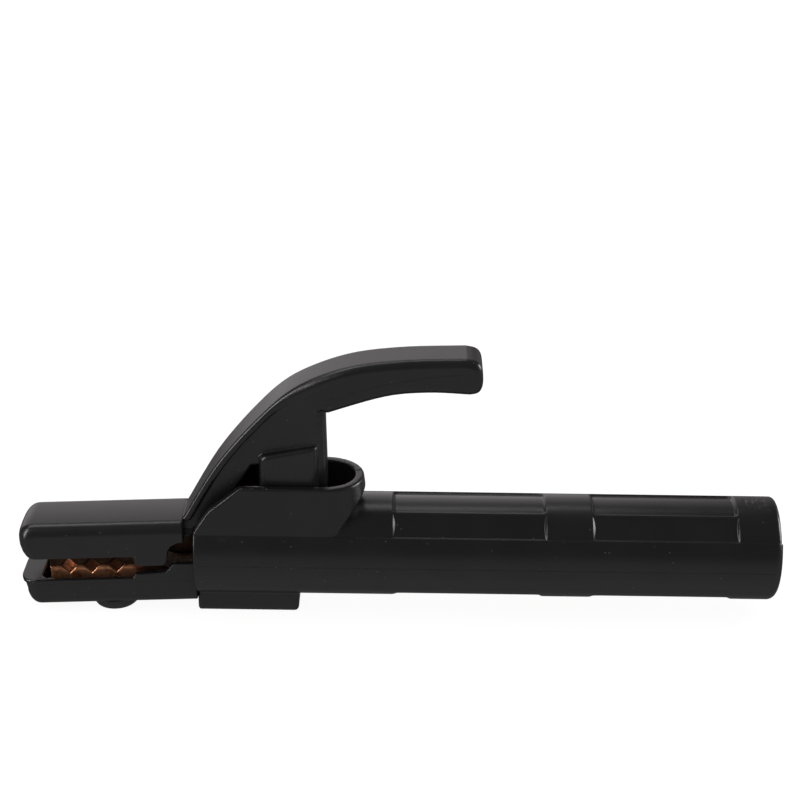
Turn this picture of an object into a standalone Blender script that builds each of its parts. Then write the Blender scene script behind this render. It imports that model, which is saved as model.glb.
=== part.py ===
"""Spring-jaw electrode holder for manual arc welding.

The grip's centre line runs along X with the jaws at -X and the cable end at +X. Shapes are
drawn in millimetres about that centre line and turned into metres once, when a mesh is made.
The origin is the middle of the bounding box at its base, so the centre line lies AXIS_HEIGHT up.
"""

import math

import bmesh
import bpy
from mathutils import Matrix, Vector

MM = 0.001

# Driving dimensions, in millimetres about the grip's centre line.
HALF_LENGTH = 113.7
AXIS_HEIGHT = 21.0
GRIP_R = 15.6
PANEL_DEPTH = 0.8
BORE_R = 10.3
CABLE_ROOM_R = 12.4
TAIL_LIP_R = 10.5
HOUSING_FRONT_X = -60.0
LEDGE_Z = 8.5
CUP_RIM_Z = 23.1
CUP_CENTRE_X = -21.3
CUP_OUTER_R = 11.2
CUP_WALL = 2.5
PIVOT_X = -54.0
PIVOT_Z = 3.0
PIN_R = 2.9
PIN_HOLE_R = 3.0
HEAD_DROOP = math.radians(2.6)
JAW_SPLIT_Z = -4.15
JAW_GAP = 0.3
JAW_HALF_WIDTH = 5.6
COVER_HALF_WIDTH = 9.0
SHANK_R = 9.9
SHANK_FRONT_X = -47.4
SOCKET_R = 6.6
SOCKET_END_X = 31.0
SOCKET_FLOOR_X = -4.0
SET_SCREW_X = (6.0, 20.0)
SET_SCREW_R = 3.9
SET_SCREW_LENGTH = 8.0
THREAD_ROOM = 0.15
HEX_R = 2.3
HEX_DEPTH = 4.0
PLATE_TOP_Z = 2.7
SPRING_X = -31.0
SPRING_R = 4.9
SPRING_WIRE_R = 0.8
SPRING_TURNS = 6.5
SEAT_Z = 8.6
SPRING_TOP_Z = 28.6
FOOT_X = (-59.5, -29.5)
FOOT_HALF_WIDTH = 6.5
FOOT_Z = -21.0
HANDLE_SCREW_X = -44.5
COVER_SCREW_X = -86.0
CAP_SCREW_X = -76.5
LEVER_SCREW = (-40.0, 0.0, 37.0)
COLUMN_END_X = -20.3
GAP = 0.3

PIVOT = Vector((PIVOT_X, 0.0, PIVOT_Z))
SEGMENTS = 40


# ---------------------------------------------------------------- scene and materials
def clear_scene():
    for item in list(bpy.data.objects):
        bpy.data.objects.remove(item, do_unlink=True)


def material(name, colour, roughness, metallic):
    made = bpy.data.materials.new(name)
    made.use_nodes = True
    shader = made.node_tree.nodes["Principled BSDF"]
    shader.inputs["Base Color"].default_value = (*colour, 1.0)
    shader.inputs["Roughness"].default_value = roughness
    shader.inputs["Metallic"].default_value = metallic
    return made


def empty(name, location, parent=None):
    made = bpy.data.objects.new(name, None)
    bpy.context.scene.collection.objects.link(made)
    made.parent = parent
    made.location = Vector(location) * MM
    return made


def mesh_object(name, shape, parent, finish=None, origin=(0.0, 0.0, 0.0)):
    """Makes an object from a bmesh in millimetres, with its origin at the given point."""
    bmesh.ops.recalc_face_normals(shape, faces=shape.faces)
    shift = Matrix.Translation(-Vector(origin))
    bmesh.ops.transform(shape, matrix=Matrix.Scale(MM, 4) @ shift, verts=shape.verts)
    mesh = bpy.data.meshes.new(name)
    shape.to_mesh(mesh)
    shape.free()
    made = bpy.data.objects.new(name, mesh)
    bpy.context.scene.collection.objects.link(made)
    made.parent = parent
    made.location = (Vector(origin) - Vector(parent_origin(parent))) * MM
    if finish:
        mesh.materials.append(finish)
        mesh.shade_smooth()
        mesh.set_sharp_from_angle(angle=math.radians(32))
    return made


def parent_origin(parent):
    return parent.get("origin_mm", (0.0, 0.0, 0.0))


def boolean(target, shape, operation):
    """Adds a Boolean of the shape to the target. The shape stays in the scene as a helper."""
    name = f"{operation.lower()}_{target.name}_{len(target.modifiers)}"
    helper = mesh_object(name, shape, bpy.data.objects["grip_axis"])
    helper.hide_render = True
    helper.display_type = "WIRE"
    step = target.modifiers.new(name, "BOOLEAN")
    step.operation = operation
    step.solver = "EXACT"
    step.object = helper


def cut(target, *shapes):
    for shape in shapes:
        boolean(target, shape, "DIFFERENCE")


def join(target, *shapes):
    for shape in shapes:
        boolean(target, shape, "UNION")


# ---------------------------------------------------------------- outlines
def arc(centre, radius, start, end, steps):
    """Points on an arc, angles in degrees from the first axis."""
    points = []
    for i in range(steps + 1):
        angle = math.radians(start + (end - start) * i / steps)
        points.append((centre[0] + radius * math.cos(angle), centre[1] + radius * math.sin(angle)))
    return points


def smooth(points, steps=4):
    """Points on a Catmull-Rom curve through the given ones."""
    ends = [points[0]] + list(points) + [points[-1]]
    found = []
    for i in range(1, len(ends) - 2):
        a, b, c, d = (Vector(p) for p in ends[i - 1 : i + 3])
        for k in range(steps):
            t = k / steps
            bend = 2 * a - 5 * b + 4 * c - d
            twist = 3 * b - a - 3 * c + d
            found.append(tuple((2 * b + (c - a) * t + bend * t**2 + twist * t**3) / 2))
    return found + [tuple(points[-1])]


def droop(shape):
    """Turns a bmesh of the head about the pivot, by the angle at which the head hangs."""
    turn = Matrix.Rotation(-HEAD_DROOP, 4, "Y")
    place = Matrix.Translation(PIVOT)
    bmesh.ops.transform(shape, matrix=place @ turn @ place.inverted(), verts=shape.verts)
    return shape


# ---------------------------------------------------------------- solids
def loft(rings, closed=False):
    """Skins equal rings of points. The ends are capped, or joined if the loft is closed."""
    shape = bmesh.new()
    made = [[shape.verts.new(p) for p in ring] for ring in rings]
    count = len(made[0])
    pairs = list(zip(made, made[1:]))
    if closed:
        pairs.append((made[-1], made[0]))
    for low, high in pairs:
        for i in range(count):
            j = (i + 1) % count
            shape.faces.new((low[i], low[j], high[j], high[i]))
    if not closed:
        shape.faces.new(made[0])
        shape.faces.new(made[-1])
    return shape


def side_prism(outline, low_y, high_y):
    """An x, z outline carried along Y."""
    return loft([[(x, y, z) for x, z in outline] for y in (low_y, high_y)])


def plan_loft(levels):
    """Outlines in x, y, each with its own height."""
    return loft([[(x, y, z) for x, y in outline] for z, outline in levels])


def block(x, y, z):
    """A box from its low and high x, y and z."""
    return side_prism([(x[0], z[0]), (x[1], z[0]), (x[1], z[1]), (x[0], z[1])], *y)


def turned(profile, axis="X", centre=(0.0, 0.0, 0.0), segments=SEGMENTS, closed=False):
    """A profile of (place along the axis, radius) turned about X, Y or Z through the centre."""
    frames = {
        "X": (Vector((1, 0, 0)), Vector((0, 1, 0)), Vector((0, 0, 1))),
        "Y": (Vector((0, 1, 0)), Vector((0, 0, 1)), Vector((1, 0, 0))),
        "Z": (Vector((0, 0, 1)), Vector((1, 0, 0)), Vector((0, 1, 0))),
    }
    along, first, second = frames[axis]
    rings = []
    for place, radius in profile:
        ring = []
        for i in range(segments):
            angle = 2 * math.pi * (i + 0.5) / segments
            spoke = first * math.cos(angle) + second * math.sin(angle)
            ring.append(Vector(centre) + along * place + spoke * radius)
        rings.append(ring)
    return loft(rings, closed)


def rounded(shape, width, steps, picks):
    """Bevels the edges whose middle the test picks."""
    bmesh.ops.recalc_face_normals(shape, faces=shape.faces)
    edges = [e for e in shape.edges if picks((e.verts[0].co + e.verts[1].co) / 2, e)]
    bmesh.ops.bevel(
        shape, geom=edges, offset=width, segments=steps, profile=0.5, affect="EDGES", clamp_overlap=True
    )
    return shape


def slot_outline(half_width, front_x, end_x, steps=10):
    """A U in plan, open-ended at front_x and round at the back."""
    centre = end_x - half_width
    return [(front_x, half_width), (front_x, -half_width)] + arc((centre, 0), half_width, -90, 90, steps)


# ---------------------------------------------------------------- handle
def grip_radius(x, angle):
    """Radius of the grip's outside. The angle is from the top, in degrees."""
    in_panel = any(start < x < end for start, end in ((-1.5, 44.0), (57.5, 100.7)))
    recessed = abs(angle) < 57 or abs(angle) > 135
    return GRIP_R - (PANEL_DEPTH if in_panel and recessed else 0.0)


def handle_tube():
    outside = [HOUSING_FRONT_X, -1.5, -1.0, 43.5, 44.0, 57.5, 58.0, 100.2, 100.7, 111.6]
    edge = [(112.9, 0.9), (HALF_LENGTH, 2.6)]
    inside = [
        (HALF_LENGTH, TAIL_LIP_R),
        (108.0, TAIL_LIP_R),
        (106.0, CABLE_ROOM_R),
        (-7.0, CABLE_ROOM_R),
        (-9.0, BORE_R - 0.5),
        (HOUSING_FRONT_X, BORE_R - 0.5),
    ]
    angles = [-180 + 360 * (i + 0.5) / 48 for i in range(48)]

    def ring(x, radius_at):
        points = []
        for angle in angles:
            turn = math.radians(angle)
            r = radius_at(angle)
            points.append((x, -r * math.sin(turn), r * math.cos(turn)))
        return points

    rings = [ring(x, lambda a, x=x: grip_radius(x, a)) for x in outside]
    rings += [ring(x, lambda a, less=less: GRIP_R - less) for x, less in edge]
    rings += [ring(x, lambda a, r=r: r) for x, r in inside]
    return loft(rings, closed=True)


def cup_outside():
    """The cup stands on the ledge, leans in as it rises, and tucks in under its round end."""
    end_x = CUP_CENTRE_X + CUP_OUTER_R
    levels = [
        (2.0, slot_outline(13.0, HOUSING_FRONT_X, end_x - 7.5)),
        (LEDGE_Z, slot_outline(13.1, HOUSING_FRONT_X, end_x - 7.0)),
        (17.5, slot_outline(11.8, HOUSING_FRONT_X, end_x)),
        (CUP_RIM_Z, slot_outline(CUP_OUTER_R, HOUSING_FRONT_X, end_x)),
    ]
    return plan_loft(levels)


def handle_shell(parent, finish):
    shell = mesh_object("handle_shell", handle_tube(), parent, finish)
    foot = rounded(
        block(FOOT_X, (-FOOT_HALF_WIDTH, FOOT_HALF_WIDTH), (FOOT_Z, -12.0)),
        1.4,
        2,
        lambda middle, e: middle.z < -13.0,
    )
    join(shell, cup_outside(), foot)
    inner = CUP_OUTER_R - CUP_WALL
    cavity = plan_loft(
        [(z, slot_outline(inner, HOUSING_FRONT_X - 5, CUP_CENTRE_X + inner)) for z in (1.0, 30.0)]
    )
    slope = [
        (-66.0, 9.0),
        (HOUSING_FRONT_X, 9.0),
        (-55.7, 15.6),
        (-48.4, 21.4),
        (-46.6, CUP_RIM_Z),
        (-44.0, 30.0),
        (-66.0, 30.0),
    ]
    screw_steps = [(-24.0, 5.4), (-17.0, 5.4), (-17.0, 3.4), (-8.0, 3.4)]
    screw_way = turned(screw_steps, "Z", (HANDLE_SCREW_X, 0, 0), 24)
    ear_room = block((HOUSING_FRONT_X - 4, -44.5), (-6.9, 6.9), (-10.9, 2.0))
    bore = turned([(HOUSING_FRONT_X - 4, BORE_R), (-8.0, BORE_R)])
    cut(shell, cavity, bore, side_prism(slope, -20.0, 20.0), screw_way, ear_room)
    return shell


# ---------------------------------------------------------------- fixed metalwork
def jaw_grooves(direction):
    """Three V grooves for the rod across the jaw, two of them at an angle."""
    grooves = []
    for x, yaw in ((-99.8, 0.0), (-92.6, -32.0), (-85.4, -32.0)):
        depth = 2.4 * direction
        vee = [(-2.3, 0.0), (2.3, 0.0), (0.0, -depth)]
        lid = [(2.3, 0.4 * direction), (-2.3, 0.4 * direction)]
        outline = [vee[0], vee[2], vee[1]] + lid
        shape = side_prism([(px, JAW_SPLIT_Z + pz) for px, pz in outline], -12.0, 12.0)
        turn = Matrix.Translation((x, 0, 0)) @ Matrix.Rotation(math.radians(yaw), 4, "Z")
        bmesh.ops.transform(shape, matrix=turn, verts=shape.verts)
        grooves.append(droop(shape))
    return grooves


def lower_tong(parent, finish):
    """The live casting: lower jaw, pivot ears, spring seat, shank and cable socket."""
    profile = [
        (SHANK_FRONT_X, 0.01),
        (SHANK_FRONT_X, SHANK_R - 0.8),
        (SHANK_FRONT_X + 0.8, SHANK_R),
        (SOCKET_END_X - 0.8, SHANK_R),
        (SOCKET_END_X, SHANK_R - 0.8),
        (SOCKET_END_X, SOCKET_R + 0.6),
        (SOCKET_END_X - 0.6, SOCKET_R),
        (SOCKET_FLOOR_X, SOCKET_R),
        (SOCKET_FLOOR_X, 0.01),
    ]
    tong = mesh_object("lower_tong", turned(profile, closed=False), parent, finish)
    top = JAW_SPLIT_Z - JAW_GAP / 2
    bar = [(-105.0, -12.6), (-64.0, -12.6), (-61.5, -10.0), (-48.0, -10.0)]
    bar += [(-48.0, -6.2), (-68.0, -6.6), (-74.5, top), (-105.0, top)]
    ear = [(-60.2, -9.0), (-47.0, -9.0), (-47.8, PIVOT_Z)]
    ear += arc((PIVOT_X, PIVOT_Z), 6.2, 0, 180, 10) + [(-60.2, PIVOT_Z - 3.0)]
    ears = [side_prism(ear, low, low + 3.0) for low in (-6.6, 3.6)]
    neck = block((-59.6, -45.0), (-6.6, 6.6), (-9.4, -5.0))
    join(tong, droop(side_prism(bar, -JAW_HALF_WIDTH, JAW_HALF_WIDTH)), neck, *ears)
    seat = block((-50.0, -19.0), (-12.0, 12.0), (SEAT_Z, 14.0))
    tang_room = block((-50.0, -43.2), (-3.6, 3.6), (1.0, 14.0))
    arm_room = side_prism(arc((PIVOT_X, PIVOT_Z), 7.2, 0, 360, 23)[:-1], -3.6, 3.6)
    pin_hole = turned([(-10.0, PIN_HOLE_R), (10.0, PIN_HOLE_R)], "Y", (PIVOT_X, 0, PIVOT_Z), 24)
    screw_hole = turned([(-14.0, 2.6), (-2.0, 2.6)], "Z", (HANDLE_SCREW_X, 0, 0), 24)
    cover_hole = droop(turned([(-16.0, 2.1), (-7.6, 2.1)], "Z", (COVER_SCREW_X, 0, 0), 20))
    holes = [
        turned([(3.0, SET_SCREW_R + THREAD_ROOM), (14.0, SET_SCREW_R + THREAD_ROOM)], "Z", (x, 0, 0), 28)
        for x in SET_SCREW_X
    ]
    cut(tong, seat, tang_room, arm_room, pin_hole, screw_hole, cover_hole, *holes, *jaw_grooves(1.0))
    return tong


def lower_jaw_cover(parent, finish):
    """The black trough under the lower jaw, low in front and higher behind the jaws."""
    outline = [(-111.5, -6.7), (-79.2, -6.7), (-78.4, -5.5), (-70.0, -5.0)]
    outline += [(-68.4, -2.6), (-67.2, -1.9), (-61.4, -1.9), (-61.4, -15.4)]
    outline += [(-107.0, -15.4)] + arc((-107.0, -10.9), 4.5, 270, 195, 5)[1:]
    trough = side_prism(outline, -COVER_HALF_WIDTH, COVER_HALF_WIDTH)
    trough = rounded(trough, 2.6, 3, lambda m, e: abs(m.y) > 8.9 and (m.z < -14.9 or m.x < -109.0))
    cover = mesh_object("lower_jaw_cover", droop(trough), parent, finish)
    room = droop(block((-107.2, -50.0), (-6.4, 6.4), (-12.95, 2.0)))
    hole = droop(turned([(-18.0, 2.5), (-10.0, 2.5)], "Z", (COVER_SCREW_X, 0, 0), 20))
    cut(cover, room, hole)
    return cover


def fixed_fasteners(parent, steel, black):
    dome = [(-19.1, 0.01), (-19.1, 4.4), (-18.3, 5.8), (-17.0, 6.5), (-15.75, 6.6)]
    dome += [(-15.75, 2.0), (-8.4, 2.0), (-8.4, 0.01)]
    mesh_object("lower_cover_screw", droop(turned(dome, "Z", (COVER_SCREW_X, 0, 0), 28)), parent, black)

    head = [(-20.6, 0.01), (-20.6, 4.0), (-20.2, 4.4), (-17.9, 4.4)]
    head += [(-17.9, 2.45), (-3.0, 2.45), (-3.0, 0.01)]
    screw = mesh_object("handle_screw", turned(head, "Z", (HANDLE_SCREW_X, 0, 0), 24), parent, steel)
    cut(screw, turned([(-22.0, HEX_R), (-18.8, HEX_R)], "Z", (HANDLE_SCREW_X, 0, 0), 6))
    washer = [(-17.7, 2.7), (-17.7, 4.9), (-17.2, 4.9), (-17.2, 2.7)]
    mesh_object("handle_screw_washer", turned(washer, "Z", (HANDLE_SCREW_X, 0, 0), 24, True), parent, steel)

    centre = (PIVOT_X, 0, PIVOT_Z)
    pin = [(-8.3, 0.01), (-8.3, 3.9), (-7.8, 4.3), (-7.0, 4.3), (-7.0, PIN_R), (7.3, PIN_R), (7.3, 2.3)]
    pin += [(7.9, 2.3), (7.9, PIN_R), (8.3, 2.6), (8.3, 0.01)]
    mesh_object("pivot_pin", turned(pin, "Y", centre, 24), parent, steel)
    clip = [(7.4, 2.45), (7.4, 4.4), (7.8, 4.4), (7.8, 2.45)]
    mesh_object("pivot_clip", turned(clip, "Y", centre, 24, True), parent, steel)
    for name, low in (("pivot_washer_near", -3.45), ("pivot_washer_far", 2.95)):
        ring = [(low, 3.1), (low, 5.6), (low + 0.5, 5.6), (low + 0.5, 3.1)]
        mesh_object(name, turned(ring, "Y", centre, 24, True), parent, steel)


# ---------------------------------------------------------------- cable clamp
def set_screw(name, x, finish):
    """A socket grub screw that bears on the pressure plate, with its origin on its own axis."""
    low = PLATE_TOP_Z + 0.1
    high = low + SET_SCREW_LENGTH
    profile = [(low, 0.01), (low, 2.6), (low + 0.8, SET_SCREW_R), (high - 0.5, SET_SCREW_R)]
    profile += [(high, SET_SCREW_R - 0.5), (high, 0.01)]
    axis = empty(f"{name}_axis", (x, 0, 0), bpy.data.objects["grip_axis"])
    axis["origin_mm"] = (x, 0.0, 0.0)
    screw = mesh_object(name, turned(profile, "Z", (x, 0, 0), 28), axis, finish, (x, 0, 0))
    cut(screw, turned([(high - HEX_DEPTH, HEX_R), (high + 1.0, HEX_R)], "Z", (x, 0, 0), 6))


def pressure_plate(parent, finish):
    """A flat plate with round ends that spreads the screws' load over the cable's strands."""
    half_length, half_width, thickness = 11.7, 4.8, 1.9
    middle = sum(SET_SCREW_X) / 2
    reach = half_length - half_width
    outline = arc((middle + reach, 0), half_width, -90, 90, 9)
    outline += arc((middle - reach, 0), half_width, 90, 270, 9)
    plate = plan_loft([(PLATE_TOP_Z - thickness, outline), (PLATE_TOP_Z, outline)])
    plate = rounded(plate, 0.3, 1, lambda m, e: abs(e.verts[0].co.z - e.verts[1].co.z) < 0.01)
    mesh_object("pressure_plate", plate, parent, finish, (middle, 0, PLATE_TOP_Z))


# ---------------------------------------------------------------- spring
def lever_spring(parent, finish):
    """A helical compression spring with its end turns closed and laid flat."""
    low = SEAT_Z + GAP + 1.4 + SPRING_WIRE_R + 0.15
    high = SPRING_TOP_Z - 1.4 - SPRING_WIRE_R - 0.15
    steps = 18
    total = int(SPRING_TURNS * steps)
    dead = 1.0 / SPRING_TURNS
    close = 2.15 * SPRING_WIRE_R
    rings = []
    for i in range(total + 1):
        share = i / total
        if share < dead:
            z = low + close * share / dead
        elif share > 1 - dead:
            z = high - close * (1 - share) / dead
        else:
            z = low + close + (high - low - 2 * close) * (share - dead) / (1 - 2 * dead)
        angle = 2 * math.pi * SPRING_TURNS * share
        out = Vector((math.cos(angle), math.sin(angle), 0))
        ring = []
        for k in range(6):
            turn = 2 * math.pi * k / 6
            offset = out * math.cos(turn) + Vector((0, 0, 1)) * math.sin(turn)
            ring.append(Vector((SPRING_X, 0, z)) + out * SPRING_R + offset * SPRING_WIRE_R)
        rings.append(ring)
    mesh_object("lever_spring", loft(rings), parent, finish)


def spring_ends(fixed, moving, steel, fibre):
    low = SEAT_Z + GAP
    seat = [(low, 2.2), (low, 6.2), (low + 0.9, 6.2), (low + 0.9, 3.6)]
    seat += [(low + 3.0, 3.3), (low + 3.0, 2.2)]
    mesh_object("spring_seat", turned(seat, "Z", (SPRING_X, 0, 0), 24, True), fixed, steel)
    high = SPRING_TOP_Z
    cap = [(high, 2.2), (high, 6.0), (high - 0.9, 6.0), (high - 0.9, 3.6)]
    cap += [(high - 3.0, 3.3), (high - 3.0, 2.2)]
    mesh_object("spring_insulator", turned(cap, "Z", (SPRING_X, 0, 0), 24, True), moving, fibre, PIVOT)


# ---------------------------------------------------------------- moving lever
LEVER_BACK = [(-63.0, 11.6), (-53.5, 28.1), (-42.0, 42.4), (-30.7, 52.8)]
LEVER_BACK += [(-16.0, 59.3), (0.0, 61.9), (19.0, 62.7)]
LEVER_UNDER = [(20.5, 52.5), (8.5, 52.8), (-4.0, 51.6), (-20.6, 46.6)]


def lever_outline():
    """The lever seen from the side, from its front tip over the back to the arm's end and down."""
    end = [(22.6, 61.2), (24.0, 58.6), (23.9, 54.9), (22.8, 53.1)]
    return smooth(LEVER_BACK, 3) + end + smooth(LEVER_UNDER, 3)


def lever_shell(parent, finish):
    back = lever_outline()
    web = back + [(-23.0, 46.0), (-23.0, 33.0), (-26.0, 30.5), (-43.0, 28.0), (-48.6, 18.9)]
    web += [(-49.4, 12.8), (-56.0, 10.8), (-62.4, 5.4)]
    lever = mesh_object("lever_shell", side_prism(web, -5.0, 5.0), parent, finish, PIVOT)
    band = [p for p in back if p[0] > -52.0]
    band += [(-26.0, 47.0), (-36.0, 40.0), (-45.0, 30.0)]
    arm = rounded(
        side_prism(band, -7.0, 7.0),
        2.4,
        2,
        lambda m, e: abs(m.y) > 6.9 and (m.x > -12.0 or m.z > 30.0 + 0.72 * (m.x + 45.0)),
    )
    box = side_prism([(-41.2, 18.8), (-23.4, 18.8), (-23.4, 35.4), (-41.2, 31.2)], -8.2, 8.2)
    box = rounded(box, 2.6, 3, lambda m, e: abs(m.y) > 8.1 and (m.x < -41.0 or m.x > -23.6))
    column = block((-27.0, COLUMN_END_X), (-5.4, 5.4), (18.8, 48.0))
    column = rounded(column, 3.0, 4, lambda m, e: m.x > COLUMN_END_X - 0.1 and abs(m.y) > 5.3)
    join(lever, arm, box, column)
    tang = side_prism(tang_outline(0.35), -2.5, 2.5)
    room = turned([(14.0, 6.4), (SPRING_TOP_Z + GAP, 6.4)], "Z", (SPRING_X, 0, 0), 28)
    arm_way = block((-66.0, -47.0), (-3.1, 3.1), (0.0, 9.4))
    ear_way = side_prism(arc((PIVOT_X, PIVOT_Z), 7.4, 0, 360, 23)[:-1], -8.0, 8.0)
    screw_way = turned([(1.0, 1.4), (3.5, 1.4), (3.5, 3.5), (9.0, 3.5)], "Y", LEVER_SCREW, 20)
    cut(lever, tang, room, arm_way, ear_way, screw_way)
    return lever


def tang_outline(grow):
    """The upper casting's tang inside the lever, grown all round for the moulding's room."""
    low = [(-57.0 - grow, 8.0), (-50.2, 4.0), (-46.6 + grow, 16.0), (-42.0 + grow, 31.0 - grow)]
    low += [(-24.0 + grow, 45.0 - grow), (-6.0 + grow, 54.2 - grow)]
    high = [(-6.0 + grow, 57.2 + grow), (-27.0, 50.4 + grow)]
    high += [(-41.5 - grow, 38.0 + grow), (-52.0 - grow, 24.0)]
    return low + high


def upper_tong(parent, finish):
    low = JAW_SPLIT_Z + JAW_GAP / 2
    bar = [(-104.6, low), (-72.0, low), (-69.0, 0.0), (-66.0, 2.2), (-66.0, 7.6), (-104.6, 7.6)]
    tong = mesh_object(
        "upper_tong", droop(side_prism(bar, -JAW_HALF_WIDTH, JAW_HALF_WIDTH)), parent, finish, PIVOT
    )
    arm = [(-74.0, -2.6), (-60.0, -3.0)] + arc((PIVOT_X, PIVOT_Z), 5.8, 240, 340, 5)
    arm += [(-49.5, 9.0), (-57.0, 9.0), (-62.0, 6.4), (-74.0, 5.6)]
    hub = turned([(-2.8, 5.8), (2.8, 5.8)], "Y", (PIVOT_X, 0, PIVOT_Z), 28)
    join(tong, side_prism(arm, -2.8, 2.8), hub, side_prism(tang_outline(0.0), -2.2, 2.2))
    pin_hole = turned([(-10.0, PIN_HOLE_R), (10.0, PIN_HOLE_R)], "Y", (PIVOT_X, 0, PIVOT_Z), 24)
    cover_hole = droop(turned([(-8.0, 1.75), (10.0, 1.75)], "Z", (CAP_SCREW_X, 0, 0), 16))
    lever_hole = turned([(-0.9, 1.3), (4.0, 1.3)], "Y", LEVER_SCREW, 16)
    cut(tong, pin_hole, cover_hole, lever_hole, *jaw_grooves(-1.0))
    return tong


def upper_jaw_cover(parent, finish):
    """The black cap over the upper jaw, with a skirt at each side behind the jaws."""
    outline = [(-111.6, -0.1), (-112.6, 1.6)] + arc((-108.6, 7.8), 5.1, 180, 90, 5)[1:]
    outline += [(-63.6, 12.1), (-63.6, 5.2), (-65.0, 4.9)]
    outline += [(-67.4, 2.7), (-69.4, -1.6), (-70.6, -2.5), (-78.2, -2.5), (-78.6, -0.1)]
    cap = side_prism(outline, -COVER_HALF_WIDTH, COVER_HALF_WIDTH)
    cap = rounded(cap, 3.4, 3, lambda m, e: abs(m.y) > 8.9 and (m.z > 11.0 or m.x < -107.0))
    cover = mesh_object("upper_jaw_cover", droop(cap), parent, finish, PIVOT)
    room = droop(block((-108.6, -60.0), (-6.2, 6.2), (-6.0, 8.1)))
    boss_hole = droop(turned([(7.0, 1.75), (11.1, 1.75)], "Z", (CAP_SCREW_X, 0, 0), 16))
    cut(cover, room, boss_hole)
    return cover


def moving_fasteners(parent, steel):
    low = JAW_SPLIT_Z + JAW_GAP / 2 + 0.3
    screw = [(low, 0.01), (low, 1.5), (10.8, 1.5), (10.8, 0.01)]
    head = droop(turned(screw, "Z", (CAP_SCREW_X, 0, 0), 16))
    made = mesh_object("upper_cover_screw", head, parent, steel, PIVOT)
    cut(made, droop(block((CAP_SCREW_X - 2, CAP_SCREW_X + 2), (-0.35, 0.35), (low - 1.0, low + 0.9))))
    profile = [(-0.6, 0.01), (-0.6, 1.1), (3.7, 1.1), (3.7, 3.1), (4.3, 3.2), (4.7, 2.6), (4.9, 0.01)]
    made = mesh_object("lever_screw", turned(profile, "Y", LEVER_SCREW, 20), parent, steel, PIVOT)
    x, _, z = LEVER_SCREW
    cut(made, block((x - 4, x + 4), (4.2, 6.0), (z - 0.4, z + 0.4)))


# ---------------------------------------------------------------- assembly
def build():
    clear_scene()
    black = material("black_moulding", (0.018, 0.018, 0.02), 0.34, 0.0)
    copper = material("copper_casting", (0.72, 0.33, 0.17), 0.36, 1.0)
    steel = material("zinc_steel", (0.55, 0.55, 0.53), 0.38, 1.0)
    dark_steel = material("blackened_steel", (0.05, 0.045, 0.042), 0.42, 0.9)
    spring_steel = material("spring_steel", (0.28, 0.28, 0.29), 0.35, 1.0)
    fibre = material("insulating_fibre", (0.24, 0.09, 0.05), 0.7, 0.0)

    grip_axis = empty("grip_axis", (0, 0, AXIS_HEIGHT))
    lever_axis = empty("lever_axis", PIVOT, grip_axis)
    lever_axis["origin_mm"] = tuple(PIVOT)

    handle_shell(grip_axis, black)
    lower_tong(grip_axis, copper)
    lower_jaw_cover(grip_axis, black)
    fixed_fasteners(grip_axis, steel, black)
    for name, x in zip(("front_set_screw", "rear_set_screw"), SET_SCREW_X):
        set_screw(name, x, dark_steel)
    pressure_plate(grip_axis, steel)
    lever_spring(grip_axis, spring_steel)
    spring_ends(grip_axis, lever_axis, steel, fibre)
    upper_tong(lever_axis, copper)
    upper_jaw_cover(lever_axis, black)
    moving_fasteners(lever_axis, steel)
    lever_shell(lever_axis, black)


build()
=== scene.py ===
"""Looks of a spring-jaw electrode holder, built around its packed mechanical model.

Shapes are worked out in millimetres about the grip's centre line, with X from the jaws to the
cable end and Z up through the lever, and turned into the model's metres when a mesh is made.
Most mouldings and castings are signed distance fields, meshed on a grid and pulled onto their
surface, so that every corner has its fillet.
"""

from __future__ import annotations

import logging
import math
from collections.abc import Callable, Sequence
from dataclasses import dataclass
from enum import Enum

import bmesh
import bpy
import numpy as np
from mathutils import Matrix, Vector


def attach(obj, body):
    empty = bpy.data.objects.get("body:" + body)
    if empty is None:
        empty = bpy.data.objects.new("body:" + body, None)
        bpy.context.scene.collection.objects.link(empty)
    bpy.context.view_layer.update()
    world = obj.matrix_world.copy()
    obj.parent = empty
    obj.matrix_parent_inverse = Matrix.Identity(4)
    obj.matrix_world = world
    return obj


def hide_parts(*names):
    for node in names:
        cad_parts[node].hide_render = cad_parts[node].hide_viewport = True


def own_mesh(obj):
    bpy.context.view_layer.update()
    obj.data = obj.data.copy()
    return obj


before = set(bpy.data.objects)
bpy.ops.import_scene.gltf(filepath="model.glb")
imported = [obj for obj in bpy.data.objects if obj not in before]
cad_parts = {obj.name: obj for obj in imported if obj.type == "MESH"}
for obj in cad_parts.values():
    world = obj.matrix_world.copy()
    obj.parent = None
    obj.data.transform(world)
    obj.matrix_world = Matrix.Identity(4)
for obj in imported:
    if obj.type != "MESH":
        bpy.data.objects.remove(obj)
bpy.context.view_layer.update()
LOG = logging.getLogger("electrode_holder")

MM = 0.001
AXIS_HEIGHT = 21.0
PIVOT_X = -54.0
PIVOT_Z = 3.0
HEAD_DROOP = math.radians(2.6)
HEAD_DROP = 0.35
COLLAR_R = 15.6
UPPER_STEP = 0.22
LEDGE_DEG = 57.0
SPRING_X = -31.0
TAU = 2.0 * math.pi
FAR = 1e12
TIP_R = 0.001
SOCKET_CHAMFER = 0.15

Array = np.ndarray
Field = Callable[[Array, Array, Array], Array]
Point2 = tuple[float, float]
EVEN = (1.0, 1.0, 1.0)


class Body(Enum):
    """The rigid bodies that pieces move with."""

    GRIP = "grip"
    LEVER = "lever"
    PLATE = "clamp_plate"
    FRONT_SCREW = "front_screw"
    REAR_SCREW = "rear_screw"


class Axis(Enum):
    """The line that a turned part spins about."""

    X = 0
    Y = 1
    Z = 2


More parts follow.
